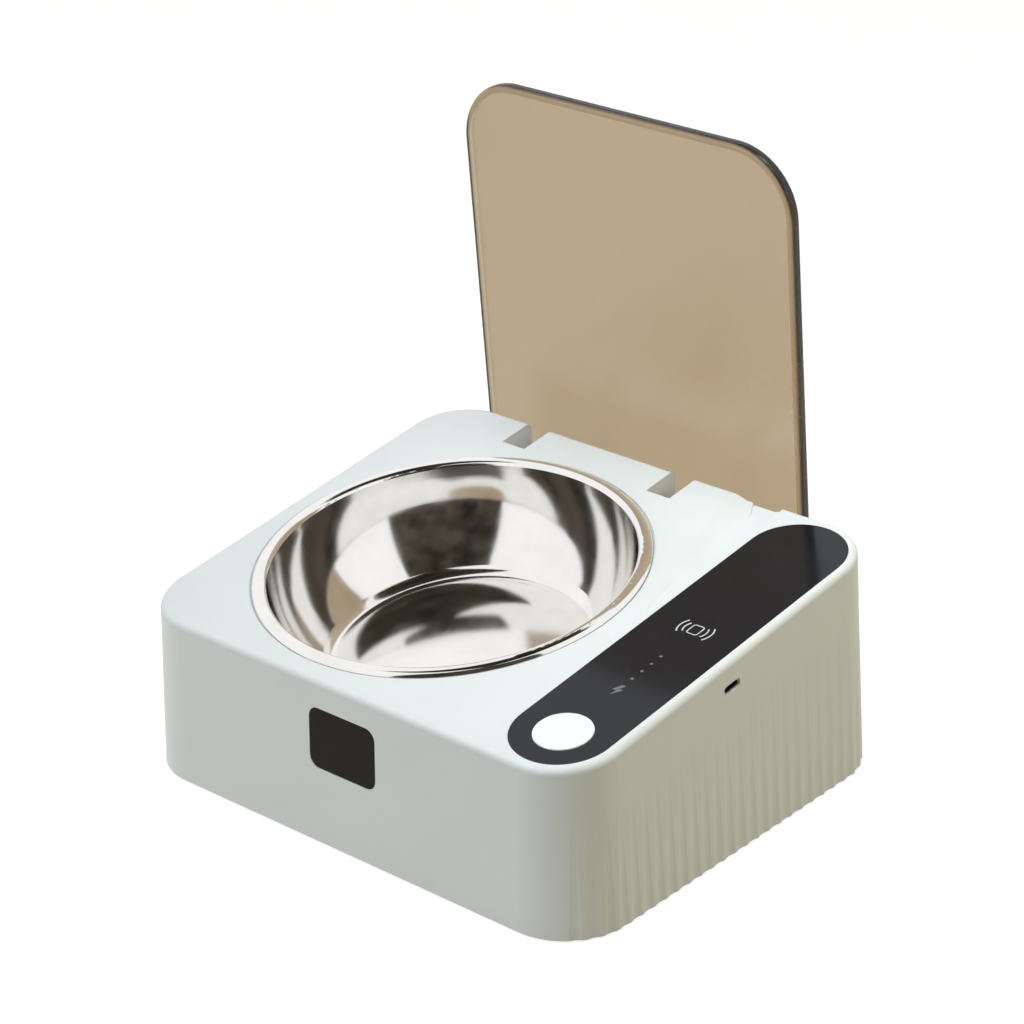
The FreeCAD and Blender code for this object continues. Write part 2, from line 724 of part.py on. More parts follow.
def shell_valley(body):
    """The low strip between the deck and the console, deepest at the rear edge."""
    under = deck_sketch(body, "valley_backing", "0 - wall / 2")
    outline(under, [("valley_right", "valley_start - 8"), ("valley_right + 4", "valley_start - 8"),
                    ("valley_right + 4", "half_depth - 2 * wall"), ("valley_left - 3", "half_depth - 2 * wall")])
    feature = pad(under, "valley_under - wall / 2")
    feature.Reversed = True
    doc.recompute()
    rear, front = "(half_depth + wall)", "(valley_start)"
    sections = []
    for name, y, deep in (("valley_rear", rear, "1"), ("valley_tip_section", front, "0.04")):
        sketch = new_sketch(body, name, "XZ_Plane", ("0", "0", "0 - %s" % y))
        top = deck_height(y)
        lean = "(valley_right - valley_tip)"
        spots = [("valley_left", "0"), ("valley_floor_left", "valley_depth"),
                 ("valley_floor_right", "valley_depth + valley_fall"), ("valley_right", "0")]
        points = []
        for x, drop in spots:
            near = x if deep == "1" else "%s + (%s - valley_left) / (valley_right - valley_left) * valley_tip" % (lean, x)
            points.append((near, "%s - (%s) * %s" % (top, drop, deep)))
        points.append((points[3][0], "%s + 6" % top))
        points.append((points[0][0], "%s + 6" % top))
        outline(sketch, points)
        sections.append(sketch)
    before = body.Shape.Volume
    feature = body.newObject("PartDesign::SubtractiveLoft", "valley")
    feature.Profile = sections[0]
    feature.Sections = [sections[1]]
    feature.Ruled = True
    doc.recompute()
    if not feature.Shape.Volume < before:
        raise RuntimeError("the valley cuts nothing")
    pocket = deck_sketch(body, "valley_pocket", "1")
    side, front, rear = "(valley_floor_right - pocket_inset)", "half_depth - pocket_length", "half_depth + wall"
    outline(pocket, [(side + " - pocket_front_width", front), (side, front),
                     (side, rear), (side + " - pocket_rear_width", rear)])
    cut(pocket, "valley_depth + pocket_depth + 1")


def shell_deck_openings(body):
    """Bowl hole and seat, glass recess, button hole and lamp window."""
    seat = deck_sketch(body, "bowl_seat", "1")
    circle(seat, "bowl_x", "bowl_y", "rim_radius + rim_play")
    cut(seat, "rim_seat + 1")
    hole = deck_sketch(body, "bowl_opening", "1")
    circle(hole, "bowl_x", "bowl_y", "bowl_hole")
    cut(hole, "2 * wall + 1")
    recess = deck_sketch(body, "glass_recess", "1")
    capsule(recess, "console_x", "0 - console_front - glass_gap", "console_rear + glass_gap",
            "console_half_width + glass_gap")
    cut(recess, "glass_thickness + 1")
    hole = deck_sketch(body, "button_opening", "1")
    circle(hole, "console_x", "button_y", "button_radius + button_play")
    cut(hole, "2 * wall + 1")
    slot = deck_sketch(body, "lamp_opening", "0")
    rounded_box(slot, "console_x - light_half_width", "console_x + light_half_width",
                "light_front", "light_rear", "peg_radius")
    cut(slot, "2 * wall")


def shell_wall_openings(body):
    """The sensor window in the front wall and the charging slot in the right wall."""
    recess = window_sketch(body, "window_recess", "1")
    half_wide, half_tall = "(window_width / 2 + window_play)", "(window_tall / 2 + window_play)"
    rounded_box(recess, "0 - " + half_wide, half_wide, "0 - " + half_tall, half_tall, "window_corner")
    cut(recess, "1 + window_set_back + window_thickness")
    through = window_sketch(body, "window_opening", "1")
    half_wide, half_tall = "(window_width / 2 - window_ledge)", "(window_tall / 2 - window_ledge)"
    rounded_box(through, "0 - " + half_wide, half_wide, "0 - " + half_tall, half_tall,
                "window_corner - window_ledge")
    cut(through, "1 + 2 * wall")
    slot = new_sketch(body, "socket_slot", "YZ_Plane",
                      ("socket_world_y", "socket_world_z", "half_width + 1"), "deck_slope", Z_AXIS)
    half_wide, half_tall = "(socket_width / 2 + socket_play)", "(socket_height / 2 + socket_play / 2)"
    rounded_box(slot, "0 - " + half_wide, half_wide, "0 - " + half_tall, half_tall,
                "socket_height / 2 - 0.1")
    cut(slot, "4 * wall + 1")


def shell_flutes(body):
    """Shallow flutes that run down both side walls and round the corners, and fade out upwards."""
    for side, sign in (("right", "1"), ("left", "-1")):
        line = flute_line(body, side + "_flute_line", sign)
        first = cut(flute_sketch(body, side + "_front_flute", sign, "-1"), "block_height")
        pattern(first, (line, ["V_Axis"]), "flute_pitch * (flute_count - 2) * flute_stretch", "flute_count - 1")
        last = cut(flute_sketch(body, side + "_rear_flute", sign, "1"), "block_height")
        for end, feature, along_y in (("front", first, "-1"), ("rear", last, "1")):
            centre = new_sketch(body, side + "_" + end + "_corner_axis", "XY_Plane",
                                (sign + " * (half_width - corner_radius)", along_y + " * (half_depth - corner_radius)", "0"))
            swing = "%s * %s * corner_flutes * flute_pitch / corner_radius * 180 / pi" % (sign, along_y)
            turned_pattern(feature, (centre, ["N_Axis"]), swing, "corner_flutes + 1")


def flute_line(body, name, sign):
    """A sketch whose vertical axis lies in a side wall and follows the deck's slope."""
    plane = [item for item in body.Origin.OriginFeatures if item.Role == "XY_Plane"][0]
    sketch = body.newObject("Sketcher::SketchObject", name)
    sketch.AttachmentSupport = [(plane, "")]
    sketch.MapMode = "FlatFace"
    lean = math.radians(value_of("wall_draft"))
    axis = Vector(math.cos(lean), 0, float(sign) * math.sin(lean))
    angle = "atan(tan(deck_slope) / cos(wall_draft))"
    sketch.AttachmentOffset = FreeCAD.Placement(Vector(), FreeCAD.Rotation(axis, value_of(angle)))
    bind(sketch, "AttachmentOffset.Rotation.Angle", angle)
    return sketch


def flute_sketch(body, name, sign, end):
    """A round cutter beside a wall, which leans in with the wall but a little less."""
    y = "%s * flute_pitch * (flute_count - 1) / 2" % end
    top = "(%s - flute_drop)" % deck_height(y)
    lean = "(wall_draft - flute_lean)"
    x = "%s * (half_width - (%s - floor_gap) * tan(wall_draft) + flute_round / cos(%s))" % (sign, top, lean)
    sketch = new_sketch(body, name, "XY_Plane", (x, y, top), "0 - %s * %s" % (sign, lean), Vector(0, 1, 0))
    circle(sketch, "0", "0", "flute_round")
    return sketch


def make_base_plate():
    """The floor of the housing, with seats for the feet and the screws."""
    body = new_body("base_plate")
    inset = "(wall + base_play)"
    plan = new_sketch(body, "base_plan", "XY_Plane", ("0", "0", "floor_gap"))
    rounded_box(plan, inset + " - half_width", "half_width - " + inset,
                inset + " - half_depth", "half_depth - " + inset, "corner_radius - " + inset)
    pad(plan, "base_thickness", taper="0 - wall_draft")
    holes = new_sketch(body, "base_holes", "XY_Plane", ("0", "0", "plate_top + 1"))
    heads = new_sketch(body, "base_head_seats", "XY_Plane", ("0", "0", "floor_gap + screw_head_height + base_play"))
    for x, y in POSTS:
        circle(holes, x, y, "screw_radius + base_play")
        circle(heads, x, y, "screw_head + base_play")
    cut(holes, "base_thickness + 2")
    cut(heads, "screw_head_height + 1")
    seats = new_sketch(body, "foot_seats", "XY_Plane", ("0", "0", "floor_gap + foot_sink"))
    for name, x, y in FEET:
        circle(seats, x + " * (half_width - foot_inset)", y + " * (half_depth - foot_inset)",
               "foot_radius + base_play")
    cut(seats, "foot_sink + 1")
    threads = new_sketch(body, "bracket_holes", "XY_Plane", ("0", "0", "plate_top + 1"))
    for x, y in PLATE_SCREWS:
        circle(threads, x, y, "screw_radius + fit_gap")
    cut(threads, "base_thickness - 0.5 + 1")
    return body


def make_foot(name, x, y):
    body = new_body("foot_" + name)
    place = (x + " * (half_width - foot_inset)", y + " * (half_depth - foot_inset)", "0")
    plan = new_sketch(body, "foot_plan_" + name, "XY_Plane", place)
    circle(plan, "0", "0", "foot_radius")
    tip = pad(plan, "floor_gap + foot_sink")
    tip = round_edges(tip, "0.5", lambda edge: edge.CenterOfMass.z < 0.01)
    return body


def make_fasteners(label, spots, radius, length, head, head_height, turn, place=("0", "0", "0"), frame="0"):
    """Equal screws in one node. Each spot is the seat of a head, and the shank runs along +Z
    until it is turned: turn is an axis and an angle."""
    whole = []
    for number, spot in enumerate(spots, start=1):
        name = "%s_%d" % (label, number)
        shank = doc.addObject("Part::Cylinder", name + "_shank")
        top = doc.addObject("Part::Cylinder", name + "_head")
        socket = doc.addObject("Part::Prism", name + "_socket")
        for thing, prop, text in ((shank, "Radius", radius), (shank, "Height", length + " + 0.2"),
                                  (top, "Radius", head), (top, "Height", head_height),
                                  (socket, "Circumradius", head + " * 0.55"),
                                  (socket, "Height", head_height + " * 0.6"),
                                  (shank, "Placement.Base.z", "0 - 0.2"),
                                  (top, "Placement.Base.z", "0 - (%s)" % head_height),
                                  (socket, "Placement.Base.z", "0 - (%s)" % head_height)):
            bind(thing, prop, text)
        solid = doc.addObject("Part::Fuse", name + "_solid")
        solid.Base, solid.Tool = shank, top
        screw = doc.addObject("Part::Cut", name)
        screw.Base, screw.Tool = solid, socket
        screw.Placement = FreeCAD.Placement(Vector(), FreeCAD.Rotation(*turn))
        for letter, part in zip("xyz", spot):
            bind(screw, "Placement.Base." + letter, part)
        whole.append(screw)
    group = doc.addObject("Part::Compound", label)
    group.Label = label
    group.Links = whole
    if frame != "0":
        group.Placement = FreeCAD.Placement(Vector(), FreeCAD.Rotation(X_AXIS, value_of(frame)))
        bind(group, "Placement.Rotation.Angle", frame)
    for letter, part in zip("xyz", place):
        if part != "0":
            bind(group, "Placement.Base." + letter, part)
    doc.recompute()
    return group


def make_base_screws():
    seat = "floor_gap + screw_head_height + base_play"
    return make_fasteners("base_screws", [(x, y, seat) for x, y in POSTS], "screw_radius", "screw_length",
                          "screw_head", "screw_head_height", (Z_AXIS, 0))


# Bowl and its liner

def make_steel_bowl():
    """A pressed bowl with a rolled rim that hangs in the deck's seat."""
    body = new_body("steel_bowl", BOWL_PLACE, "deck_slope")
    sketch = new_sketch(body, "bowl_profile", "XZ_Plane")
    mouth = "(rim_radius - rim_band - steel)"
    outline(sketch, [
        ("0", "0 - bowl_depth"),
        ("bowl_floor_radius", "0 - bowl_depth", "bowl_knee_curve"),
        ("bowl_knee_radius", "bowl_knee_height - bowl_depth", "bowl_wall_curve"),
        (mouth, "0", "-rim_curve"),
        ("(%s + rim_radius) / 2" % mouth, "rim_height", "-rim_curve"),
        ("rim_radius", "0 - rim_seat"),
        (mouth + " + steel", "0 - rim_seat", "-bowl_wall_curve + steel"),
        ("bowl_knee_radius + 0.7 * steel", "bowl_knee_height - bowl_depth - 0.7 * steel",
         "-bowl_knee_curve + steel"),
        ("bowl_floor_radius", "0 - bowl_depth - steel"),
        ("0", "0 - bowl_depth - steel")])
    spin(sketch)
    return body


def make_bowl_liner():
    """A cup under the bowl, whose flange is bonded to the deck's underside."""
    body = new_body("bowl_liner", BOWL_PLACE, "deck_slope")
    sketch = new_sketch(body, "liner_profile", "XZ_Plane")
    knee, low = "(bowl_knee_radius + 0.8 * (steel + liner_gap))", "(bowl_depth - bowl_knee_height + steel + liner_gap)"
    floor = "(bowl_depth + steel + liner_floor_gap)"
    outline(sketch, [
        ("0", "0 - " + floor),
        ("bowl_floor_radius", "0 - " + floor, "bowl_knee_curve + liner_gap"),
        (knee, "0 - " + low, "bowl_wall_curve + liner_gap"),
        ("bowl_hole", "0 - wall"),
        ("bowl_hole + liner_flange", "0 - wall"),
        ("bowl_hole + liner_flange", "0 - wall - liner_wall"),
        ("bowl_hole + liner_wall", "0 - wall - liner_wall", "-bowl_wall_curve + liner_gap + liner_wall"),
        (knee + " + 0.8 * liner_wall", "0 - %s - 0.6 * liner_wall" % low,
         "-bowl_knee_curve + liner_gap + liner_wall"),
        ("bowl_floor_radius", "0 - %s - liner_wall" % floor),
        ("0", "0 - %s - liner_wall" % floor)])
    spin(sketch)
    return body


# Lid, arms and hinge line

def make_lid_panel():
    """The see-through lid: a flat panel with a lip on its inner side, open at the hinge end."""
    body = lid_body("lid_panel")
    left, right = "bowl_x - lid_width / 2", "bowl_x + lid_width / 2"
    plan = new_sketch(body, "lid_plan", "XZ_Plane", ("0", "0", "0 - arm_crank - lid_thickness"))
    tombstone(plan, left, right, "lid_start", "lid_start + lid_length", "lid_foot_corner", "lid_corner")
    panel = pad(plan, "lid_thickness")
    low = value_of("arm_crank")
    high = value_of("arm_crank + lid_thickness")

    def on_a_face(edge):
        spots = [point.y for point in edge.discretize(3)]
        return max(spots) - min(spots) < 1e-4 and (abs(spots[0] - low) < 1e-4 or abs(spots[0] - high) < 1e-4)

    round_edges(panel, "lid_round", on_a_face)
    recess = new_sketch(body, "lid_recess_plan", "XZ_Plane", ("0", "0", "1 - arm_crank"))
    rounded_box(recess, left + " + lid_lip", right + " - lid_lip", "lid_start - lid_corner",
                "lid_start + lid_length - lid_lip", "lid_corner - lid_lip")
    cut(recess, "lid_recess + 1")
    holes = new_sketch(body, "lid_screw_holes", "XZ_Plane", ("0", "0", "1 - lid_plane"))
    for x in ("left_arm_x", "right_arm_x"):
        for z in ("arm_screw_first", "arm_screw_second"):
            circle(holes, x, z, "arm_screw_radius + fit_gap")
    cut(holes, "arm_screw_length - lid_recess - arm_pad_drop + arm_screw_head_height + 0.5 + 1")
    return body


def make_lid_arm(side, x):
    """A cranked arm from the hinge shaft up to the pad that carries the lid."""
    body = lid_body("lid_arm_" + side)
    half = "arm_width / 2"
    hub = new_sketch(body, "hub_" + side, "YZ_Plane", ("0", "0", x))
    circle(hub, "0", "0", "arm_hub")
    pad(hub, half, back=half)
    limb = new_sketch(body, "limb_" + side, "YZ_Plane", ("0", "0", x))
    pad_face = "arm_crank - arm_pad_drop"
    outline(limb, [("0", "0 - arm_back"), ("lid_plane", "0 - arm_back"), ("lid_plane", "arm_pad_length"),
                   (pad_face, "arm_pad_length"), (pad_face, "arm_front"), ("0", "arm_front")])
    tip = pad(limb, half, back=half)
    reach, front = value_of(pad_face), value_of("arm_front")
    outer = value_of("lid_plane")
    tip = round_edges(tip, "arm_bend", lambda edge: along(edge, X_AXIS) and (
        abs(edge.CenterOfMass.y - reach) + abs(edge.CenterOfMass.z - front) < 1e-3
        or (abs(edge.CenterOfMass.y - outer) < 1e-3 and edge.CenterOfMass.z < 0)))
    bore = new_sketch(body, "arm_bore_" + side, "YZ_Plane", ("0", "0", x + " + arm_width"))
    d_outline(bore, "shaft_radius + fit_gap", "shaft_flat + fit_gap")
    cut(bore, "2 * arm_width")
    holes = new_sketch(body, "arm_holes_" + side, "XZ_Plane", ("0", "0", "1 - arm_crank"))
    heads = new_sketch(body, "arm_heads_" + side, "XZ_Plane", ("0", "0", "1 - (%s)" % pad_face))
    for z in ("arm_screw_first", "arm_screw_second"):
        circle(holes, x, z, "arm_screw_radius + fit_gap")
        circle(heads, x, z, "arm_screw_head + base_play")
    cut(holes, "arm_pad_drop + lid_recess + 2")
    cut(heads, "arm_screw_head_height + 1")
    return body


def make_arm_screws():
    seat = "arm_crank - arm_pad_drop + arm_screw_head_height"
    spots = [(x, seat, z) for x in ("left_arm_x", "right_arm_x") for z in ("arm_screw_first", "arm_screw_second")]
    return make_fasteners("arm_screws", spots, "arm_screw_radius", "arm_screw_length", "arm_screw_head",
                          "arm_screw_head_height", (X_AXIS, -90), ("0", "hinge_y", "hinge_height"), "lid_lean")


def make_hinge_shaft():
    """A steel shaft with one flat, which ties both arms and the gear together."""
    body = lid_body("hinge_shaft")
    sketch = new_sketch(body, "shaft_section", "YZ_Plane", ("0", "0", "left_arm_x - arm_width / 2 - shaft_overhang"))
    circle(sketch, "0", "0", "shaft_radius")
    tip = pad(sketch, "gearbox_x + 1.5 - left_arm_x + arm_width / 2 + shaft_overhang")
    tip = round_edges(tip, "0.4", lambda edge: edge.Curve.TypeId == "Part::GeomCircle")
    for name, x, length in (("left_arm", "left_arm_x", "arm_width"), ("right_arm", "right_arm_x", "arm_width"),
                            ("gear", "sector_x", "pinion_width")):
        flat = new_sketch(body, name + "_flat", "YZ_Plane", ("0", "0", "%s + %s / 2" % (x, length)))
        box(flat, "0 - 2 * shaft_radius", "2 * shaft_radius", "shaft_flat", "2 * shaft_radius")
        cut(flat, length)
    return body


def make_bearing_block(side, x):
    """A block that hangs from the deck beside each arm and holds a bush."""
    body = new_body("bearing_block_" + side)
    centre, half = "%s + block_offset" % x, "block_length / 2"
    sketch = new_sketch(body, "block_" + side, "YZ_Plane", ("0", "0", centre))
    rear, under = "(half_depth - 2.8 * wall)", " - wall / cos(deck_slope)"
    outline(sketch, [("block_front", "block_foot"), (rear, "block_foot"),
                     (rear, deck_height(rear) + under), ("block_front", deck_height("block_front") + under)])
    tip = pad(sketch, half, back=half)
    foot = value_of("block_foot")
    tip = round_edges(tip, "4", lambda edge: along(edge, X_AXIS) and abs(edge.CenterOfMass.z - foot) < 1e-3)
    bore = new_sketch(body, "block_bore_" + side, "YZ_Plane", ("0", "0", centre + " + block_length"))
    circle(bore, "hinge_y", "hinge_height", "shaft_radius + running_gap + bush_wall + fit_gap")
    cut(bore, "2 * block_length")
    return body


def make_bush(side, x):
    """A flanged bush between the block and the shaft."""
    body = new_body("bush_" + side)
    start = "%s + block_offset - block_length / 2" % x
    sleeve = new_sketch(body, "sleeve_" + side, "YZ_Plane", ("hinge_y", "hinge_height", start))
    circle(sleeve, "0", "0", "shaft_radius + running_gap + bush_wall")
    pad(sleeve, "block_length", back="bush_flange")
    flange = new_sketch(body, "bush_flange_" + side, "YZ_Plane", ("hinge_y", "hinge_height", start))
    circle(flange, "0", "0", "shaft_radius + running_gap + bush_wall + bush_flange_wall")
    pad(flange, "bush_flange").Reversed = True
    doc.recompute()
    bore = new_sketch(body, "bush_bore_" + side, "YZ_Plane", ("hinge_y", "hinge_height", start + " + 2 * block_length"))
    circle(bore, "0", "0", "shaft_radius + running_gap")
    cut(bore, "4 * block_length")
    return body


# Gears

def involute(angle):
    return math.tan(angle) - angle


def tooth_points(teeth, module, middle, backlash):
    """One tooth from its left root to its right root, around an angle in radians."""
    pressure = math.radians(20)
    pitch = module * teeth / 2
    base = pitch * math.cos(pressure)
    root, tip = pitch - 1.25 * module, pitch + 0.95 * module
    half_tooth = (math.pi * module / 2 - backlash) / 2 / pitch
    radii = [max(base, root) + (tip - max(base, root)) * step / 4 for step in range(5)]
    flank = [(root, half_tooth + involute(pressure))] if base > root else []
    for radius in radii:
        turn = math.acos(min(1, base / radius))
        flank.append((radius, half_tooth + involute(pressure) - involute(turn)))
    points = [(radius, middle - half) for radius, half in flank]
    points += [(radius, middle + half) for radius, half in reversed(flank)]
    return [Vector(radius * math.cos(turn), radius * math.sin(turn), 0) for radius, turn in points]


def toothed_plate(teeth, middles, centre_close):
    """A flat toothed outline as a face. If centre_close is set it ends at the axis, as a sector."""
    module, backlash = value_of("gear_module"), value_of("gear_backlash")
    points = []
    for middle in middles:
        points += tooth_points(teeth, module, middle, backlash)
    if centre_close:
        points.append(Vector(0, 0, 0))
    return Part.Face(Part.makePolygon(points + [points[0]]))


def d_bore(radius, flat, length):
    """A cutter for a bore with one flat, which faces +y."""
    bore = Part.makeCylinder(radius, length)
    slab = Part.makeBox(4 * radius, 2 * radius, length, Vector(-2 * radius, flat, 0))
    return bore.cut(slab)


def gear_feature(label, shape, x, frame):
    """Turn a gear made about Z so that it lies about X, and hold it as a feature."""
    turned = FreeCAD.Rotation(Vector(1, 1, 1), 120)
    feature = doc.addObject("Part::Feature", label)
    feature.Label = label
    feature.Shape = shape.transformed(FreeCAD.Placement(Vector(value_of(x), 0, 0), turned).toMatrix(), True)
    place, turn = frame
    feature.Placement = FreeCAD.Placement(Vector(*[value_of(part) for part in place]),
                                          FreeCAD.Rotation(X_AXIS, value_of(turn) or 1e-9))
    for letter, part in zip("xyz", place):
        bind(feature, "Placement.Base." + letter, part)
    if turn != "0":
        bind(feature, "Placement.Rotation.Angle", turn)
    else:
        feature.Placement.Rotation = FreeCAD.Rotation()
    doc.recompute()
    return feature


def make_lid_gear():
    """A toothed sector on the hinge shaft. A gap between teeth faces the pinion at rest."""
    width, teeth = value_of("gear_width"), int(value_of("sector_teeth"))
    step = 2 * math.pi / teeth
    facing = math.pi - math.radians(value_of("lid_lean"))
    middles = [facing + step * (number + 0.5) for number in range(-12, 2)]
    sector = toothed_plate(teeth, middles, True).extrude(Vector(0, 0, width))
    hub_radius, web = value_of("gear_hub"), value_of("gear_web")
    hub = Part.makeCylinder(hub_radius, width)
    root = value_of("gear_module * (sector_teeth / 2 - 1.25)")
    rim = root - 2.5
    shape = sector.fuse(hub)
    for start in (web / 2 + width / 2, -1):
        ring = Part.makeCylinder(rim, width / 2 - web / 2 + 1, Vector(0, 0, start))
        shape = shape.cut(ring.cut(Part.makeCylinder(hub_radius, 3 * width, Vector(0, 0, -width))))
    shape = shape.cut(d_bore(value_of("shaft_radius + fit_gap"), value_of("shaft_flat + fit_gap"), width))
    return gear_feature("lid_gear", shape.removeSplitter(), "sector_x - gear_width / 2",
                        (("0", "hinge_y", "hinge_height"), "lid_lean"))


def make_drive_pinion():
    """A pinion with one tooth in the middle of the lid gear's gap at rest."""
    width, teeth = value_of("pinion_width"), int(value_of("pinion_teeth"))
    middles = [2 * math.pi * number / teeth for number in range(teeth)]
    shape = toothed_plate(teeth, middles, False).extrude(Vector(0, 0, width))
    shape = shape.cut(d_bore(value_of("output_radius + fit_gap"), value_of("output_radius * 0.8 + fit_gap"), width))
    return gear_feature("drive_pinion", shape, "sector_x - pinion_width / 2",
                        (("0", "pinion_y", "hinge_height"), "0"))


def make_output_shaft():
    body = new_body("output_shaft", ("0", "pinion_y", "hinge_height"))
    sketch = new_sketch(body, "output_section", "YZ_Plane", ("0", "0", "sector_x - pinion_width / 2 - 1"))
    d_outline(sketch, "output_radius", "output_radius * 0.8")
    pad(sketch, "gearbox_x + gearbox_length / 2 - sector_x + pinion_width / 2 + 1")
    return body


# Drive

def make_drive_plate():
    """An upright plate with a foot, which carries the gearbox and the end of the hinge shaft."""
    body = new_body("drive_plate")
    sketch = new_sketch(body, "plate_plan", "YZ_Plane", ("0", "0", "plate_x"))
    front, rear = "(pinion_y - gearbox_side / 2 - 3)", "(hinge_y + plate_margin)"
    top = "(hinge_height + gearbox_side / 2 + 2)"
    outline(sketch, [(front, "plate_top"), (rear, "plate_top"), (rear, top), (front, top)])
    tip = pad(sketch, "plate_thickness")
    crest = value_of(top)
    tip = round_edges(tip, "6", lambda edge: along(edge, X_AXIS) and abs(edge.CenterOfMass.z - crest) < 1e-3)
    foot = new_sketch(body, "plate_foot", "XY_Plane", ("0", "0", "plate_top"))
    box(foot, "plate_x", "gearbox_x + plate_foot_width", front, rear)
    pad(foot, "plate_thickness")
    bores = new_sketch(body, "plate_bores", "YZ_Plane", ("0", "0", "gearbox_x + 1"))
    circle(bores, "hinge_y", "hinge_height", "shaft_radius + running_gap")
    circle(bores, "pinion_y", "hinge_height", "output_radius + running_gap + 0.5")
    for y, z in GEARBOX_SCREWS:
        circle(bores, y, z, "board_screw_radius + fit_gap")
    for y in ("pinion_y", "hinge_y - 5"):
        circle(bores, y, "hinge_height / 2 - 4", "plate_relief")
    cut(bores, "plate_thickness + 2")
    holes = new_sketch(body, "plate_foot_holes", "XY_Plane", ("0", "0", "plate_top + plate_thickness + 1"))
    for x, y in PLATE_SCREWS:
        circle(holes, x, y, "screw_radius + base_play")
    cut(holes, "plate_thickness + 2")
    return body


def make_drive_plate_screws():
    seat = "plate_top + plate_thickness"
    return make_fasteners("drive_plate_screws", [(x, y, seat) for x, y in PLATE_SCREWS], "screw_radius",
                          "plate_thickness + base_thickness - 0.8", "screw_head", "screw_head_height", (X_AXIS, 180))


def make_gearbox_screws():
    return make_fasteners("gearbox_screws", [("plate_x", y, z) for y, z in GEARBOX_SCREWS], "board_screw_radius",
                          "board_screw_length", "board_screw_head", "board_screw_head_height",
                          (Vector(0, 1, 0), 90))


def make_gearbox():
    """The closed gearbox. Its wheels are inside and are left solid."""
    body = new_body("gearbox_housing")
    half = "gearbox_side / 2"
    sketch = new_sketch(body, "gearbox_plan", "YZ_Plane", ("0", "0", "gearbox_x"))
    rounded_box(sketch, "pinion_y - " + half, "pinion_y + " + half,
                "hinge_height - " + half, "hinge_height + " + half, "gearbox_round")
    pad(sketch, "gearbox_length")
    seam = new_sketch(body, "gearbox_seam", "YZ_Plane", ("0", "0", "gearbox_x + gearbox_length * 0.62"))
    rounded_box(seam, "pinion_y - %s - 1" % half, "pinion_y + %s + 1" % half,
                "hinge_height - %s - 1" % half, "hinge_height + %s + 1" % half, "gearbox_round")
    rounded_box(seam, "pinion_y - %s + 0.5" % half, "pinion_y + %s - 0.5" % half,
                "hinge_height - %s + 0.5" % half, "hinge_height + %s - 0.5" % half, "gearbox_round")
    cut(seam, "0.6")
    bores = new_sketch(body, "gearbox_bores", "YZ_Plane", ("0", "0", "gearbox_x + gearbox_length / 2 + 1"))
    circle(bores, "pinion_y", "hinge_height", "output_radius + running_gap")
    cut(bores, "gearbox_length / 2 + 2")
    holes = new_sketch(body, "gearbox_holes", "YZ_Plane", ("0", "0", "gearbox_x + board_screw_length"))
    for y, z in GEARBOX_SCREWS:
        circle(holes, y, z, "board_screw_radius + fit_gap")
    cut(holes, "board_screw_length + 1")
    return body


def make_motor_can():
    body = new_body("motor_can")
    sketch = new_sketch(body, "motor_section", "YZ_Plane", ("pinion_y", "hinge_height", "motor_x"))
    circle(sketch, "0", "0", "motor_radius")
    tip = pad(sketch, "motor_length")
    far = value_of("motor_x + motor_length")
    round_edges(tip, "1.2", lambda edge: abs(edge.CenterOfMass.x - far) < 1e-3)
    return body


def make_motor_cap():
    """The motor's end cap with its two terminals."""
    body = new_body("motor_cap")
    start = "motor_x + motor_length"
    sketch = new_sketch(body, "cap_section", "YZ_Plane", ("pinion_y", "hinge_height", start))
    circle(sketch, "0", "0", "motor_radius - 1.5")
    pad(sketch, "motor_cap_length")
    tabs = new_sketch(body, "cap_tabs", "YZ_Plane", ("pinion_y", "hinge_height", start + " + motor_cap_length"))
    box(tabs, "4", "6.5", "0 - 0.4", "0.4")
    box(tabs, "0 - 6.5", "0 - 4", "0 - 0.4", "0.4")
    pad(tabs, "2", back="1")
    return body


def make_limit_switch():
    """A small switch on the drive plate, whose pin stands just under the lid gear's teeth."""
    body = new_body("limit_switch")
    crown = "(hinge_height - gear_module * (sector_teeth / 2 + 1) - limit_switch_gap)"
    sketch = new_sketch(body, "limit_case", "YZ_Plane", ("0", "0", "plate_x"))
    box(sketch, "hinge_y - 8", "hinge_y + 4", crown + " - 9", crown + " - 2")
    feature = pad(sketch, "6")
    feature.Reversed = True
    doc.recompute()
    pin = new_sketch(body, "limit_pin", "XY_Plane", ("sector_x + 3.2", "hinge_y - 2", crown))
    circle(pin, "0", "0", "0.9")
    feature = pad(pin, "3")
    feature.Reversed = True
    doc.recompute()
    return body


# Battery

def make_battery_cell():
    body = new_body("battery_cell", CELL_PLACE)
    sketch = new_sketch(body, "cell_section", "YZ_Plane", ("0", "0", "0 - cell_length / 2"))
    circle(sketch, "0", "0", "cell_radius")
    tip = pad(sketch, "cell_length")
    round_edges(tip, "0.8", lambda edge: edge.Curve.TypeId == "Part::GeomCircle")
    nub = new_sketch(body, "cell_nub", "YZ_Plane", ("0", "0", "cell_length / 2 - 0.5"))
    circle(nub, "0", "0", "cell_radius / 3")
    pad(nub, "1.5")
    return body


def make_battery_cradle():
    """An open trough that holds the cell on the base plate."""
    body = new_body("battery_cradle", CELL_PLACE)
    reach = "(cell_length / 2 + 1 + 2 * cradle_gap + contact_thickness)"
    side = "(cell_radius + cradle_gap + cradle_wall)"
    sketch = new_sketch(body, "cradle_section", "YZ_Plane")
    box(sketch, "0 - " + side, side, "0 - " + side, "cell_radius / 3")
    pad(sketch, reach + " + cradle_wall", back=reach + " + cradle_wall")
    trough = new_sketch(body, "cradle_trough", "YZ_Plane")
    circle(trough, "0", "0", "cell_radius + cradle_gap")
    cut(trough, reach, back=reach)
    return body


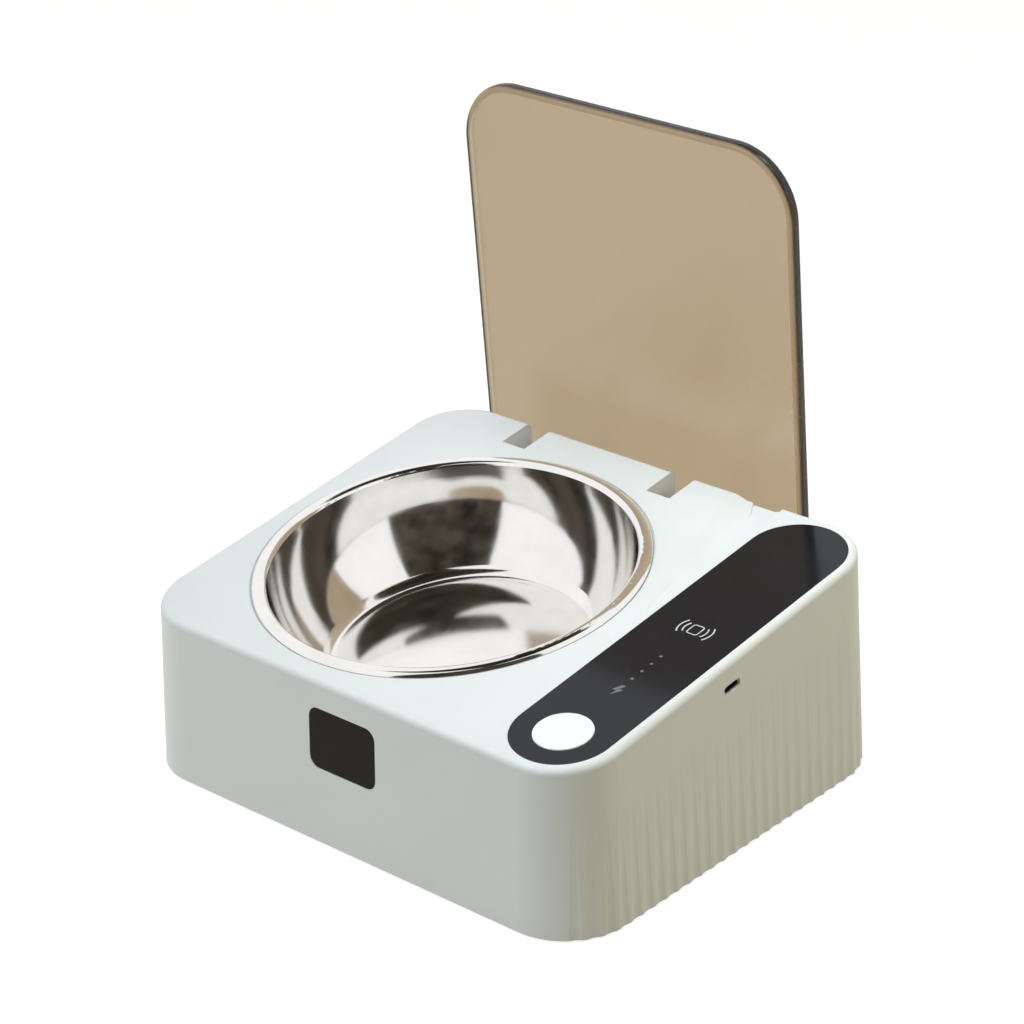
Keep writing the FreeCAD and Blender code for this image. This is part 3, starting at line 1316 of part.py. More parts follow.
def make_battery_contacts():
    """Two spring plates, one at each end of the cell."""
    plates = []
    for number, sign in enumerate(("-1", "1"), start=1):
        plate = doc.addObject("Part::Box", "contact_%d" % number)
        for prop, text in (("Length", "contact_thickness"), ("Width", "cell_radius"), ("Height", "cell_radius"),
                           ("Placement.Base.x", "%s * (cell_length / 2 + 1 + cradle_gap + contact_thickness / 2) "
                                                "- contact_thickness / 2" % sign),
                           ("Placement.Base.y", "0 - cell_radius / 2"), ("Placement.Base.z", "0 - cell_radius / 2")):
            bind(plate, prop, text)
        plates.append(plate)
    group = doc.addObject("Part::Compound", "battery_contacts")
    group.Label = "battery_contacts"
    group.Links = plates
    for letter, part in zip("xyz", CELL_PLACE):
        bind(group, "Placement.Base." + letter, part)
    doc.recompute()
    return group


# Console

def make_console_glass():
    body = deck_body("console_glass")
    sketch = new_sketch(body, "glass_plan", "XY_Plane", ("0", "0", "0 - glass_thickness"))
    capsule(sketch, "console_x", "0 - console_front", "console_rear", "console_half_width")
    circle(sketch, "console_x", "button_y", "button_radius + button_play")
    pad(sketch, "glass_thickness")
    return body


def make_power_button():
    """A round button that slides square to the deck, held in by its flange."""
    body = deck_body("power_button")
    stop = "(wall + glass_gap)"
    cap = new_sketch(body, "button_cap", "XY_Plane", ("console_x", "button_y", "button_proud"))
    circle(cap, "0", "0", "button_radius")
    tip = pad(cap, "button_proud + %s + button_flange_thickness" % stop)
    tip.Reversed = True
    doc.recompute()
    crown = value_of("button_proud")
    tip = round_edges(tip, "0.35", lambda edge: edge.Curve.TypeId == "Part::GeomCircle"
                      and abs(edge.CenterOfMass.z - crown) < 1e-3)
    flange = new_sketch(body, "button_flange_plan", "XY_Plane", ("console_x", "button_y", "0 - " + stop))
    circle(flange, "0", "0", "button_radius + button_flange")
    tip = pad(flange, "button_flange_thickness")
    tip.Reversed = True
    doc.recompute()
    return body


def make_switch_plunger():
    body = deck_body("switch_plunger")
    top = "(wall + glass_gap + button_flange_thickness)"
    sketch = new_sketch(body, "plunger_section", "XY_Plane", ("console_x", "button_y", "0 - " + top))
    circle(sketch, "0", "0", "plunger_radius")
    tip = pad(sketch, "board_drop - switch_height + 0.7 - " + top)
    tip.Reversed = True
    doc.recompute()
    return body


def make_power_switch():
    """The switch on the board under the button, open at the top for its plunger."""
    body = deck_body("power_switch")
    half = "switch_size / 2"
    sketch = new_sketch(body, "switch_plan", "XY_Plane", ("0", "0", "0 - board_drop"))
    box(sketch, "console_x - " + half, "console_x + " + half, "button_y - " + half, "button_y + " + half)
    pad(sketch, "switch_height")
    bore = new_sketch(body, "switch_bore", "XY_Plane", ("0", "0", "switch_height - board_drop"))
    circle(bore, "console_x", "button_y", "plunger_radius + plunger_play")
    cut(bore, "button_travel + 1.4")
    return body


def make_control_board():
    """The main board on pegs under the deck, with a tab that reaches to the charging socket."""
    body = deck_body("control_board")
    left, right = "console_x - board_half_width", "console_x + board_half_width"
    low, high = "socket_y - board_tab_half", "socket_y + board_tab_half"
    sketch = new_sketch(body, "board_plan", "XY_Plane", ("0", "0", "0 - board_drop - board_thickness"))
    outline(sketch, [(left, "0 - board_front"), (right, "0 - board_front"), (right, low), ("board_tab", low),
                     ("board_tab", high), (right, high), (right, "board_rear"), (left, "board_rear")])
    pad(sketch, "board_thickness")
    holes = new_sketch(body, "board_holes", "XY_Plane", ("0", "0", "1 - board_drop"))
    for x, y in BOARD_PEGS:
        circle(holes, x, y, "board_screw_radius + fit_gap")
    cut(holes, "board_thickness + 2")
    return body


def make_control_board_screws():
    seat = "0 - board_drop - board_thickness"
    return make_fasteners("control_board_screws", [(x, y, seat) for x, y in BOARD_PEGS], "board_screw_radius",
                          "board_screw_length", "board_screw_head", "board_screw_head_height", (Z_AXIS, 0),
                          ("0", "0", "deck_middle"), "deck_slope")


def make_light_guide():
    """The diffuser in the deck's slot, under the glass."""
    body = deck_body("light_guide")
    sketch = new_sketch(body, "guide_plan", "XY_Plane", ("0", "0", "0 - wall - 1"))
    play = "base_play"
    rounded_box(sketch, "console_x - light_half_width + " + play, "console_x + light_half_width - " + play,
                "light_front + " + play, "light_rear - " + play, "peg_radius - " + play)
    pad(sketch, "wall + 1 - glass_thickness - 0.05")
    return body


def make_indicator_lamps():
    lamps = []
    for number, y in enumerate(LAMPS, start=1):
        lamp = doc.addObject("Part::Cylinder", "lamp_%d" % number)
        for prop, text in (("Radius", "lamp_radius"), ("Height", "lamp_height"), ("Placement.Base.x", "console_x"),
                           ("Placement.Base.y", y), ("Placement.Base.z", "0 - board_drop")):
            bind(lamp, prop, text)
        lamps.append(lamp)
    group = doc.addObject("Part::Compound", "indicator_lamps")
    group.Label = "indicator_lamps"
    group.Links = lamps
    group.Placement = FreeCAD.Placement(Vector(), FreeCAD.Rotation(X_AXIS, value_of("deck_slope")))
    bind(group, "Placement.Base.z", "deck_middle")
    bind(group, "Placement.Rotation.Angle", "deck_slope")
    doc.recompute()
    return group


def make_socket_shell():
    """The steel shell of the charging socket, open towards the slot in the wall."""
    body = deck_body("socket_shell")
    wide, tall = "(socket_width / 2 - %s)", "(socket_height / 2 - %s)"
    middle = "0 - socket_drop"
    outer = new_sketch(body, "socket_outer", "YZ_Plane", ("socket_y", middle, "socket_face"))
    rounded_box(outer, "0 - " + wide % 0, wide % 0, "0 - " + tall % 0, tall % 0, "socket_height / 2 - 0.2")
    tip = pad(outer, "socket_depth")
    tip.Reversed = True
    doc.recompute()
    inner = new_sketch(body, "socket_inner", "YZ_Plane", ("socket_y", middle, "socket_face"))
    skin = "socket_skin"
    rounded_box(inner, "0 - " + wide % skin, wide % skin, "0 - " + tall % skin, tall % skin,
                "socket_height / 2 - 0.2 - socket_skin")
    cut(inner, "socket_depth - 0.6")
    return body


def make_socket_tongue():
    body = deck_body("socket_tongue")
    sketch = new_sketch(body, "tongue_section", "YZ_Plane",
                        ("socket_y", "0 - socket_drop", "socket_face - socket_depth + 0.6"))
    box(sketch, "0 - tongue_width / 2", "tongue_width / 2", "0 - tongue_thickness / 2", "tongue_thickness / 2")
    pad(sketch, "tongue_length")
    return body


# Presence sensor

def make_sensor_window():
    body = window_body("sensor_window")
    sketch = new_sketch(body, "window_plan", "XY_Plane", ("0", "0", "0 - window_set_back - window_thickness"))
    wide, tall = "window_width / 2", "window_tall / 2"
    rounded_box(sketch, "0 - " + wide, wide, "0 - " + tall, tall, "window_corner")
    pad(sketch, "window_thickness")
    return body


def make_sensor_board():
    body = window_body("sensor_board")
    sketch = new_sketch(body, "sensor_board_plan", "XY_Plane", ("0", "0", "0 - sensor_board_drop - board_thickness"))
    wide, tall = "sensor_board_width / 2", "sensor_board_tall / 2"
    rounded_box(sketch, "0 - " + wide, wide, "0 - " + tall, tall, "1")
    pad(sketch, "board_thickness")
    holes = new_sketch(body, "sensor_board_holes", "XY_Plane", ("0", "0", "1 - sensor_board_drop"))
    for x, y in SENSOR_PEGS:
        circle(holes, x, y, "board_screw_radius + fit_gap")
    cut(holes, "board_thickness + 2")
    return body


def make_sensor_board_screws():
    seat = "0 - sensor_board_drop - board_thickness"
    return make_fasteners("sensor_board_screws", [(x, y, seat) for x, y in SENSOR_PEGS], "board_screw_radius",
                          "board_screw_length", "board_screw_head", "board_screw_head_height", (Z_AXIS, 0),
                          ("window_x", "window_y", "window_height"), "90 - wall_draft")


def make_sensor_eye(label, sign):
    """A domed emitter or receiver behind the dark window."""
    body = window_body(label)
    x = sign + " * sensor_spacing / 2"
    rise = "(sensor_board_drop - wall - sensor_dome_gap)"
    sketch = new_sketch(body, label + "_section", "XY_Plane", (x, "0", "0 - sensor_board_drop"))
    circle(sketch, "0", "0", "sensor_radius")
    tip = pad(sketch, rise)
    crown = value_of("%s - sensor_board_drop" % rise)
    round_edges(tip, "sensor_radius * 0.8", lambda edge: edge.Curve.TypeId == "Part::GeomCircle"
                and abs(edge.CenterOfMass.z - crown) < 1e-3)
    return body


nodes = [make_upper_shell(), make_base_plate(), make_base_screws()]
nodes += [make_foot(name, x, y) for name, x, y in FEET]
nodes += [make_steel_bowl(), make_bowl_liner(), make_lid_panel()]
nodes += [make_lid_arm("left", "left_arm_x"), make_lid_arm("right", "right_arm_x"), make_arm_screws()]
nodes += [make_hinge_shaft(), make_lid_gear(), make_drive_pinion(), make_output_shaft()]
for side, x in (("left", "left_arm_x"), ("right", "right_arm_x")):
    nodes += [make_bearing_block(side, x), make_bush(side, x)]
nodes += [make_drive_plate(), make_drive_plate_screws(), make_gearbox(), make_gearbox_screws()]
nodes += [make_motor_can(), make_motor_cap(), make_limit_switch()]
nodes += [make_battery_cell(), make_battery_cradle(), make_battery_contacts()]
nodes += [make_console_glass(), make_power_button(), make_switch_plunger(), make_power_switch()]
nodes += [make_control_board(), make_control_board_screws(), make_light_guide(), make_indicator_lamps()]
nodes += [make_socket_shell(), make_socket_tongue(), make_sensor_window(), make_sensor_board()]
nodes += [make_sensor_board_screws(), make_sensor_eye("sensor_emitter", "-1"), make_sensor_eye("sensor_receiver", "1")]

doc.recompute()
for item in doc.Objects:
    if "Invalid" in item.State or "Error" in item.State:
        raise RuntimeError("%s did not build: %s" % (item.Name, item.State))

os.makedirs("parts", exist_ok=True)
for node in nodes:
    shape = node.Shape
    if shape.isNull() or not shape.isValid() or not shape.Solids:
        raise RuntimeError("%s has no sound shape" % node.Label)
    if node.TypeId == "PartDesign::Body" and len(shape.Solids) != 1:
        raise RuntimeError("%s is in %d pieces" % (node.Label, len(shape.Solids)))
    shape.exportStep("parts/%s.step" % node.Label)
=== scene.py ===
import json
import math
import bmesh
import bpy
from mathutils import Matrix, Vector


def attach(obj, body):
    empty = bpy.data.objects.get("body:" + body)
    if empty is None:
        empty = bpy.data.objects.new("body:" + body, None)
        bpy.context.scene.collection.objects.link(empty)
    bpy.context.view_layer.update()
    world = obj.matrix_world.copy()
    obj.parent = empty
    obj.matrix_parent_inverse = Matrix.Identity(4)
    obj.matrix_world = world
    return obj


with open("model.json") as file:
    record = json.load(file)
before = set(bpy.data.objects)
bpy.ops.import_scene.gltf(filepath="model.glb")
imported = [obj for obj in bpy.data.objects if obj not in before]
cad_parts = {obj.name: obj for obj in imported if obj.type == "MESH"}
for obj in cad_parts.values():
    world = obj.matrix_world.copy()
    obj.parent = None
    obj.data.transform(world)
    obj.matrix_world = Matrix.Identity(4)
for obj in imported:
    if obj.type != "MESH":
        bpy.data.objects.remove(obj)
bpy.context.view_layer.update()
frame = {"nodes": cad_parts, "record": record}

MM = 0.001

# The deck slopes up to the rear by this angle, and passes this height over the middle of the base
DECK_SLOPE = math.radians(7.5)
DECK_MIDDLE = 72.6 + 100.5 * math.tan(DECK_SLOPE)


# Camera

def place_camera():
    """The photograph's viewpoint, with its slight roll."""
    turn, rise, roll = math.radians(42.02), math.radians(25.61), math.radians(-1.68)
    back = Vector((math.sin(turn) * math.cos(rise), -math.cos(turn) * math.cos(rise), math.sin(rise)))
    level = Vector((math.cos(turn), math.sin(turn), 0))
    upright = back.cross(level)
    right = math.cos(roll) * level + math.sin(roll) * upright
    up = -math.sin(roll) * level + math.cos(roll) * upright
    target = Vector((0, 0, 60)) + 2.72 * level + 47.4 * upright
    data = bpy.data.cameras.new("camera")
    data.sensor_width = 36
    data.lens = 3326.95 / 1024 * 36
    data.clip_start = 0.05
    camera = bpy.data.objects.new("camera", data)
    camera.matrix_world = (Matrix.Translation((target + back * 1357.28) * MM)
                           @ Matrix((right, up, back)).transposed().to_4x4())
    bpy.context.scene.collection.objects.link(camera)
    bpy.context.scene.camera = camera


place_camera()


# Materials

def tree_of(name):
    material = bpy.data.materials.new(name)
    material.use_nodes = True
    nodes = material.node_tree.nodes
    return material, nodes, material.node_tree.links, nodes["Principled BSDF"]


def noise(nodes, scale, detail=3.0, rough=0.55):
    """Noise in metres over the object's own place."""
    place = nodes.new("ShaderNodeTexCoord")
    texture = nodes.new("ShaderNodeTexNoise")
    texture.inputs["Scale"].default_value = scale
    texture.inputs["Detail"].default_value = detail
    texture.inputs["Roughness"].default_value = rough
    return place, texture


def spread(nodes, links, source, low, high):
    """Map a 0 to 1 value onto a range."""
    node = nodes.new("ShaderNodeMapRange")
    node.inputs["From Min"].default_value = 0.3
    node.inputs["From Max"].default_value = 0.7
    node.inputs["To Min"].default_value = low
    node.inputs["To Max"].default_value = high
    links.new(source, node.inputs["Value"])
    return node.outputs["Result"]


def mottle(nodes, links, source, first, second):
    """A colour that drifts between two close ones."""
    ramp = nodes.new("ShaderNodeValToRGB")
    ramp.color_ramp.elements[0].position = 0.35
    ramp.color_ramp.elements[1].position = 0.65
    ramp.color_ramp.elements[0].color = (*first, 1)
    ramp.color_ramp.elements[1].color = (*second, 1)
    links.new(source, ramp.inputs["Fac"])
    return ramp.outputs["Color"]


def shade(color, factor):
    return tuple(min(1, value * factor) for value in color)


def plastic(name, color, rough, grain=4200, grain_depth=0.02, drift=0.02, specular=0.5):
    """Moulded plastic: fine grain from the tool, and a slow drift of tone and gloss."""
    material, nodes, links, shader = tree_of(name)
    place, slow = noise(nodes, 35, 2)
    links.new(place.outputs["Object"], slow.inputs["Vector"])
    links.new(mottle(nodes, links, slow.outputs["Fac"], shade(color, 1 - drift), shade(color, 1 + drift)),
              shader.inputs["Base Color"])
    place, fine = noise(nodes, grain, 2)
    links.new(place.outputs["Object"], fine.inputs["Vector"])
    links.new(spread(nodes, links, slow.outputs["Fac"], rough - 0.04, rough + 0.04), shader.inputs["Roughness"])
    shader.inputs["Specular IOR Level"].default_value = specular
    if grain_depth:
        bump = nodes.new("ShaderNodeBump")
        bump.inputs["Strength"].default_value = 0.35
        bump.inputs["Distance"].default_value = grain_depth * MM
        links.new(fine.outputs["Fac"], bump.inputs["Height"])
        links.new(bump.outputs["Normal"], shader.inputs["Normal"])
    return material


def metal(name, color, rough, stretch=(1, 1, 1), scale=900, depth=0.004, anisotropy=0.0):
    """Metal with fine drawn or turned lines along the stretched direction."""
    material, nodes, links, shader = tree_of(name)
    place, lines = noise(nodes, scale, 4, 0.6)
    mapping = nodes.new("ShaderNodeMapping")
    mapping.inputs["Scale"].default_value = stretch
    links.new(place.outputs["Object"], mapping.inputs["Vector"])
    links.new(mapping.outputs["Vector"], lines.inputs["Vector"])
    links.new(mottle(nodes, links, lines.outputs["Fac"], shade(color, 0.93), shade(color, 1.05)),
              shader.inputs["Base Color"])
    links.new(spread(nodes, links, lines.outputs["Fac"], rough * 0.75, rough * 1.3), shader.inputs["Roughness"])
    shader.inputs["Metallic"].default_value = 1.0
    shader.inputs["Anisotropic"].default_value = anisotropy
    if depth:
        bump = nodes.new("ShaderNodeBump")
        bump.inputs["Strength"].default_value = 0.3
        bump.inputs["Distance"].default_value = depth * MM
        links.new(lines.outputs["Fac"], bump.inputs["Height"])
        links.new(bump.outputs["Normal"], shader.inputs["Normal"])
    return material


def smoky(name, absorb, density, rough=0.06):
    """Clear plastic whose tint deepens with the light's way through it."""
    material, nodes, links, shader = tree_of(name)
    place, slow = noise(nodes, 22, 2)
    links.new(place.outputs["Object"], slow.inputs["Vector"])
    links.new(mottle(nodes, links, slow.outputs["Fac"], (0.94, 0.93, 0.92), (1.0, 1.0, 1.0)),
              shader.inputs["Base Color"])
    links.new(spread(nodes, links, slow.outputs["Fac"], rough * 0.8, rough * 1.3), shader.inputs["Roughness"])
    shader.inputs["Transmission Weight"].default_value = 1.0
    shader.inputs["IOR"].default_value = 1.49
    volume = nodes.new("ShaderNodeVolumeAbsorption")
    volume.inputs["Color"].default_value = (*absorb, 1)
    volume.inputs["Density"].default_value = density
    links.new(volume.outputs["Volume"], nodes["Material Output"].inputs["Volume"])
    return material


def bowl_steel():
    """Polished pressed steel with faint rings from polishing and a soft haze."""
    material, nodes, links, shader = tree_of("bowl_steel")
    place = nodes.new("ShaderNodeTexCoord")
    centre = nodes.new("ShaderNodeMapping")
    centre.vector_type = "TEXTURE"
    centre.inputs["Location"].default_value = (-24.5 * MM, -6.3 * MM, DECK_MIDDLE * MM)
    centre.inputs["Rotation"].default_value = (DECK_SLOPE, 0, 0)
    links.new(place.outputs["Object"], centre.inputs["Vector"])
    rings = nodes.new("ShaderNodeTexWave")
    rings.wave_type = "RINGS"
    rings.rings_direction = "Z"
    rings.inputs["Scale"].default_value = 900
    rings.inputs["Distortion"].default_value = 1.5
    rings.inputs["Detail"].default_value = 3
    rings.inputs["Detail Scale"].default_value = 2
    links.new(centre.outputs["Vector"], rings.inputs["Vector"])
    _, haze = noise(nodes, 60, 4)
    links.new(place.outputs["Object"], haze.inputs["Vector"])
    links.new(spread(nodes, links, haze.outputs["Fac"], 0.07, 0.13), shader.inputs["Roughness"])
    links.new(mottle(nodes, links, haze.outputs["Fac"], (0.86, 0.85, 0.83), (0.92, 0.91, 0.89)),
              shader.inputs["Base Color"])
    bump = nodes.new("ShaderNodeBump")
    bump.inputs["Strength"].default_value = 0.06
    bump.inputs["Distance"].default_value = 0.01 * MM
    links.new(rings.outputs["Fac"], bump.inputs["Height"])
    links.new(bump.outputs["Normal"], shader.inputs["Normal"])
    shader.inputs["Metallic"].default_value = 1.0
    return material


def circuit_board(name):
    """Solder mask over traces: short runs of a lighter green on dark green."""
    material, nodes, links, shader = tree_of(name)
    place = nodes.new("ShaderNodeTexCoord")
    cells = nodes.new("ShaderNodeTexBrick")
    cells.inputs["Scale"].default_value = 160
    cells.inputs["Color1"].default_value = (0.012, 0.13, 0.05, 1)
    cells.inputs["Color2"].default_value = (0.015, 0.16, 0.065, 1)
    cells.inputs["Mortar"].default_value = (0.05, 0.30, 0.14, 1)
    cells.inputs["Mortar Size"].default_value = 0.03
    links.new(place.outputs["Object"], cells.inputs["Vector"])
    links.new(cells.outputs["Color"], shader.inputs["Base Color"])
    _, slow = noise(nodes, 300, 2)
    links.new(place.outputs["Object"], slow.inputs["Vector"])
    links.new(spread(nodes, links, slow.outputs["Fac"], 0.25, 0.4), shader.inputs["Roughness"])
    return material


SLOT_MATERIALS = {
    "housing_white": plastic("housing_plastic", (0.785, 0.80, 0.80), 0.42, 5200, 0.012, 0.012),
    "base_grey": plastic("base_plastic", (0.50, 0.52, 0.54), 0.5, 3000, 0.03),
    "steel_mirror": bowl_steel(),
    "liner_white": plastic("liner_plastic", (0.66, 0.68, 0.69), 0.45, 3000, 0.02),
    "lid_smoke": smoky("lid_plastic", (0.57, 0.44, 0.23), 385, 0.22),
    "arm_smoke": smoky("arm_plastic", (0.55, 0.41, 0.185), 600, 0.16),
    "console_black": plastic("console_glass", (0.008, 0.009, 0.013), 0.12, 900, 0.0, 0.05, specular=0.28),
    "button_white": plastic("button_plastic", (0.90, 0.91, 0.90), 0.3, 5200, 0.01, 0.01),
    "window_dark": plastic("window_plastic", (0.009, 0.007, 0.004), 0.2, 900, 0.0, 0.08, specular=0.1),
    "foot_rubber": plastic("foot_rubber", (0.03, 0.03, 0.03), 0.8, 2600, 0.05, 0.08),
    "screw_steel": metal("screw_metal", (0.56, 0.56, 0.58), 0.28),
    "shaft_steel": metal("shaft_metal", (0.62, 0.62, 0.62), 0.2, (20, 1, 1)),
    "bush_acetal": plastic("bush_plastic", (0.72, 0.69, 0.60), 0.45),
    "gear_acetal": plastic("gear_plastic", (0.78, 0.76, 0.70), 0.4),
    "plate_steel": metal("plate_metal", (0.55, 0.56, 0.58), 0.3, (1, 1, 1), 160),
    "gearbox_black": plastic("gearbox_plastic", (0.02, 0.02, 0.022), 0.45, 2600, 0.03),
    "motor_steel": metal("motor_metal", (0.55, 0.55, 0.56), 0.25, (1, 12, 12), 500),
    "cap_nylon": plastic("cap_plastic", (0.60, 0.57, 0.46), 0.5),
    "switch_black": plastic("switch_plastic", (0.02, 0.02, 0.02), 0.4),
    "cell_wrap": plastic("cell_film", (0.03, 0.14, 0.36), 0.3, 2600, 0.01),
    "cradle_black": plastic("cradle_plastic", (0.025, 0.025, 0.025), 0.5),
    "contact_nickel": metal("contact_metal", (0.62, 0.60, 0.55), 0.25),
    "board_green": circuit_board("board"),
    "guide_milk": plastic("guide_plastic", (0.75, 0.75, 0.74), 0.5),
    "lamp_clear": plastic("lamp_plastic", (0.75, 0.74, 0.60), 0.2),
    "socket_steel": metal("socket_metal", (0.58, 0.58, 0.58), 0.25, (12, 1, 1)),
    "tongue_black": plastic("tongue_plastic", (0.015, 0.015, 0.015), 0.4),
    "eye_clear": plastic("eye_clear_plastic", (0.45, 0.45, 0.5), 0.15),
    "eye_dark": plastic("eye_dark_plastic", (0.01, 0.008, 0.012), 0.15),
}

slot_of = {item["node"]: item["material_slot"] for item in frame["record"]["subparts"]}
for node, obj in frame["nodes"].items():
    for item in obj.material_slots:
        item.material = SLOT_MATERIALS[slot_of[node]]


# Printed icons on the console glass

def deck_point(x, y, rise):
    """A point by its place on the deck plane, in metres."""
    return Vector((x, y * math.cos(DECK_SLOPE) - rise * math.sin(DECK_SLOPE),
                   DECK_MIDDLE + y * math.sin(DECK_SLOPE) + rise * math.cos(DECK_SLOPE))) * MM


def print_shapes(name, outlines, material, rise=0.06, thickness=0.05):
    """Flat printed shapes on the glass, with a little thickness of ink."""
    mesh = bpy.data.meshes.new(name)
    ink = bmesh.new()
    for points in outlines:
        low = [ink.verts.new(deck_point(x, y, rise - thickness)) for x, y in points]
        high = [ink.verts.new(deck_point(x, y, rise)) for x, y in points]
        ink.faces.new(high)
        ink.faces.new(low[::-1])
        for index in range(len(points)):
            after = (index + 1) % len(points)
            ink.faces.new((low[index], low[after], high[after], high[index]))
    bmesh.ops.recalc_face_normals(ink, faces=ink.faces)
    ink.to_mesh(mesh)
    ink.free()
    piece = bpy.data.objects.new(name, mesh)
    mesh.materials.append(material)
    bpy.context.scene.collection.objects.link(piece)
    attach(piece, "housing")
    return piece


def arc_band(cx, cy, radius, width, start, end, steps=14):
    """A curved band between two angles in degrees."""
    angles = [math.radians(start + (end - start) * step / steps) for step in range(steps + 1)]
    outer = [(cx + (radius + width / 2) * math.cos(a), cy + (radius + width / 2) * math.sin(a)) for a in angles]
    inner = [(cx + (radius - width / 2) * math.cos(a), cy + (radius - width / 2) * math.sin(a)) for a in angles]
    return outer + inner[::-1]


def rounded_frame(cx, cy, wide, tall, corner, width):
    """A rounded rectangle's outline as eight bands."""
    bands = []
    x, y = wide / 2, tall / 2
    for sx, sy, start in ((1, 1, 0), (-1, 1, 90), (-1, -1, 180), (1, -1, 270)):
        bands.append(arc_band(cx + sx * (x - corner), cy + sy * (y - corner), corner, width, start, start + 90, 6))
    w = width / 2
    for sx in (-1, 1):
        bands.append([(cx + sx * x - w, cy - y + corner), (cx + sx * x + w, cy - y + corner),
                      (cx + sx * x + w, cy + y - corner), (cx + sx * x - w, cy + y - corner)])
    for sy in (-1, 1):
        bands.append([(cx - x + corner, cy + sy * y - w), (cx + x - corner, cy + sy * y - w),
                      (cx + x - corner, cy + sy * y + w), (cx - x + corner, cy + sy * y + w)])
    return bands


ink_bright = plastic("ink_bright", (0.62, 0.63, 0.64), 0.5, 2600, 0.0)
ink_dim = plastic("ink_dim", (0.16, 0.165, 0.17), 0.5, 2600, 0.0)

icon = rounded_frame(92.2, 6.4, 5.0, 6.0, 1.0, 0.5)
for radius, spread_angle in ((5.2, 35), (7.6, 35)):
    icon.append(arc_band(92.2, 6.4, radius, 0.6, 0 - spread_angle, spread_angle))
    icon.append(arc_band(92.2, 6.4, radius, 0.6, 180 - spread_angle, 180 + spread_angle))
print_shapes("print_device", icon, ink_bright)

bolt = [(-0.5, 3.6), (-2.2, -0.4), (-0.3, -0.4), (-0.9, -3.6), (2.2, 0.9), (0.4, 0.9), (1.3, 3.6)]
print_shapes("print_bolt", [[(92.1 + x, -41.6 + y) for x, y in bolt]], ink_dim)
for number, y in enumerate((-32.7, -26.8, -20.9, -15.0), start=1):
    print_shapes("print_dot_%d" % number, [arc_band(92.1, y, 0.35, 0.7, 0, 360, 18)[:19]], ink_dim)


# Stage and light

def plane(name, corners, material):
    mesh = bpy.data.meshes.new(name)
    mesh.from_pydata([Vector(corner) for corner in corners], [], [(0, 1, 2, 3)])
    mesh.materials.append(material)
    obj = bpy.data.objects.new(name, mesh)
    bpy.context.scene.collection.objects.link(obj)
    return obj


def floor_material():
    """Matt paint that is lifted towards white for the camera and in reflections, and keeps shadows."""
    material, nodes, links, shader = tree_of("floor_paint")
    shader.inputs["Base Color"].default_value = (0.32, 0.29, 0.22, 1)
    shader.inputs["Roughness"].default_value = 0.9
    shader.inputs["Specular IOR Level"].default_value = 0.1
    glow = nodes.new("ShaderNodeEmission")
    path = nodes.new("ShaderNodeLightPath")
    seen = nodes.new("ShaderNodeMath")
    seen.operation = "MAXIMUM"
    links.new(path.outputs["Is Camera Ray"], seen.inputs[0])
    links.new(path.outputs["Is Glossy Ray"], seen.inputs[1])
    through = nodes.new("ShaderNodeMath")
    through.operation = "MAXIMUM"
    links.new(seen.outputs[0], through.inputs[0])
    links.new(path.outputs["Is Transmission Ray"], through.inputs[1])
    share = nodes.new("ShaderNodeMath")
    share.operation = "MULTIPLY"
    share.inputs[1].default_value = FLOOR_LIFT
    links.new(through.outputs[0], share.inputs[0])
    links.new(share.outputs[0], glow.inputs["Strength"])
    both = nodes.new("ShaderNodeAddShader")
    links.new(shader.outputs["BSDF"], both.inputs[0])
    links.new(glow.outputs["Emission"], both.inputs[1])
    links.new(both.outputs["Shader"], nodes["Material Output"].inputs["Surface"])
    return material


FLOOR_LIFT = 0.86
FLOOR_Z = -0.1 * MM
floor_paint = floor_material()
plane("floor", [(-6, -6, FLOOR_Z), (6, -6, FLOOR_Z), (6, 6, FLOOR_Z), (-6, 6, FLOOR_Z)], floor_paint)


def soft_lamp(name, place, aim, size, power, color=(1, 1, 1)):
    data = bpy.data.lights.new(name, "AREA")
    data.shape = "RECTANGLE"
    data.size, data.size_y = size
    data.energy = power
    data.color = color
    lamp = bpy.data.objects.new(name, data)
    lamp.location = place
    lamp.rotation_euler = (Vector(aim) - Vector(place)).to_track_quat("-Z", "Y").to_euler()
    bpy.context.scene.collection.objects.link(lamp)
    lamp.visible_glossy = False
    return lamp


def sky_lamp(name, toward, power, spread_angle, color):
    """A wide even light from one direction, which lights the floor alike near and far."""
    data = bpy.data.lights.new(name, "SUN")
    data.energy = power
    data.angle = math.radians(spread_angle)
    data.color = color
    lamp = bpy.data.objects.new(name, data)
    lamp.rotation_euler = Vector(toward).to_track_quat("Z", "Y").to_euler()
    bpy.context.scene.collection.objects.link(lamp)
    lamp.visible_glossy = False


sky_lamp("key_lamp", (-0.3, -0.35, 1.0), 1.12, 60, (0.84, 0.945, 1.0))
soft_lamp("top_lamp", (0.14, 0.045, 0.5), (0.06, 0.04, 0.09), (0.26, 0.1), 1.05, (0.90, 0.965, 1.0))
soft_lamp("front_lamp", (-0.72, -1.5, 0.4), (0, 0, 0.06), (1.0, 0.7), 8.1, (0.93, 0.985, 1.0))
soft_lamp("side_lamp", (0.78, 0.2, 0.5), (0.1, 0, 0.06), (0.4, 0.3), 1.42, (1.0, 0.93, 0.48))


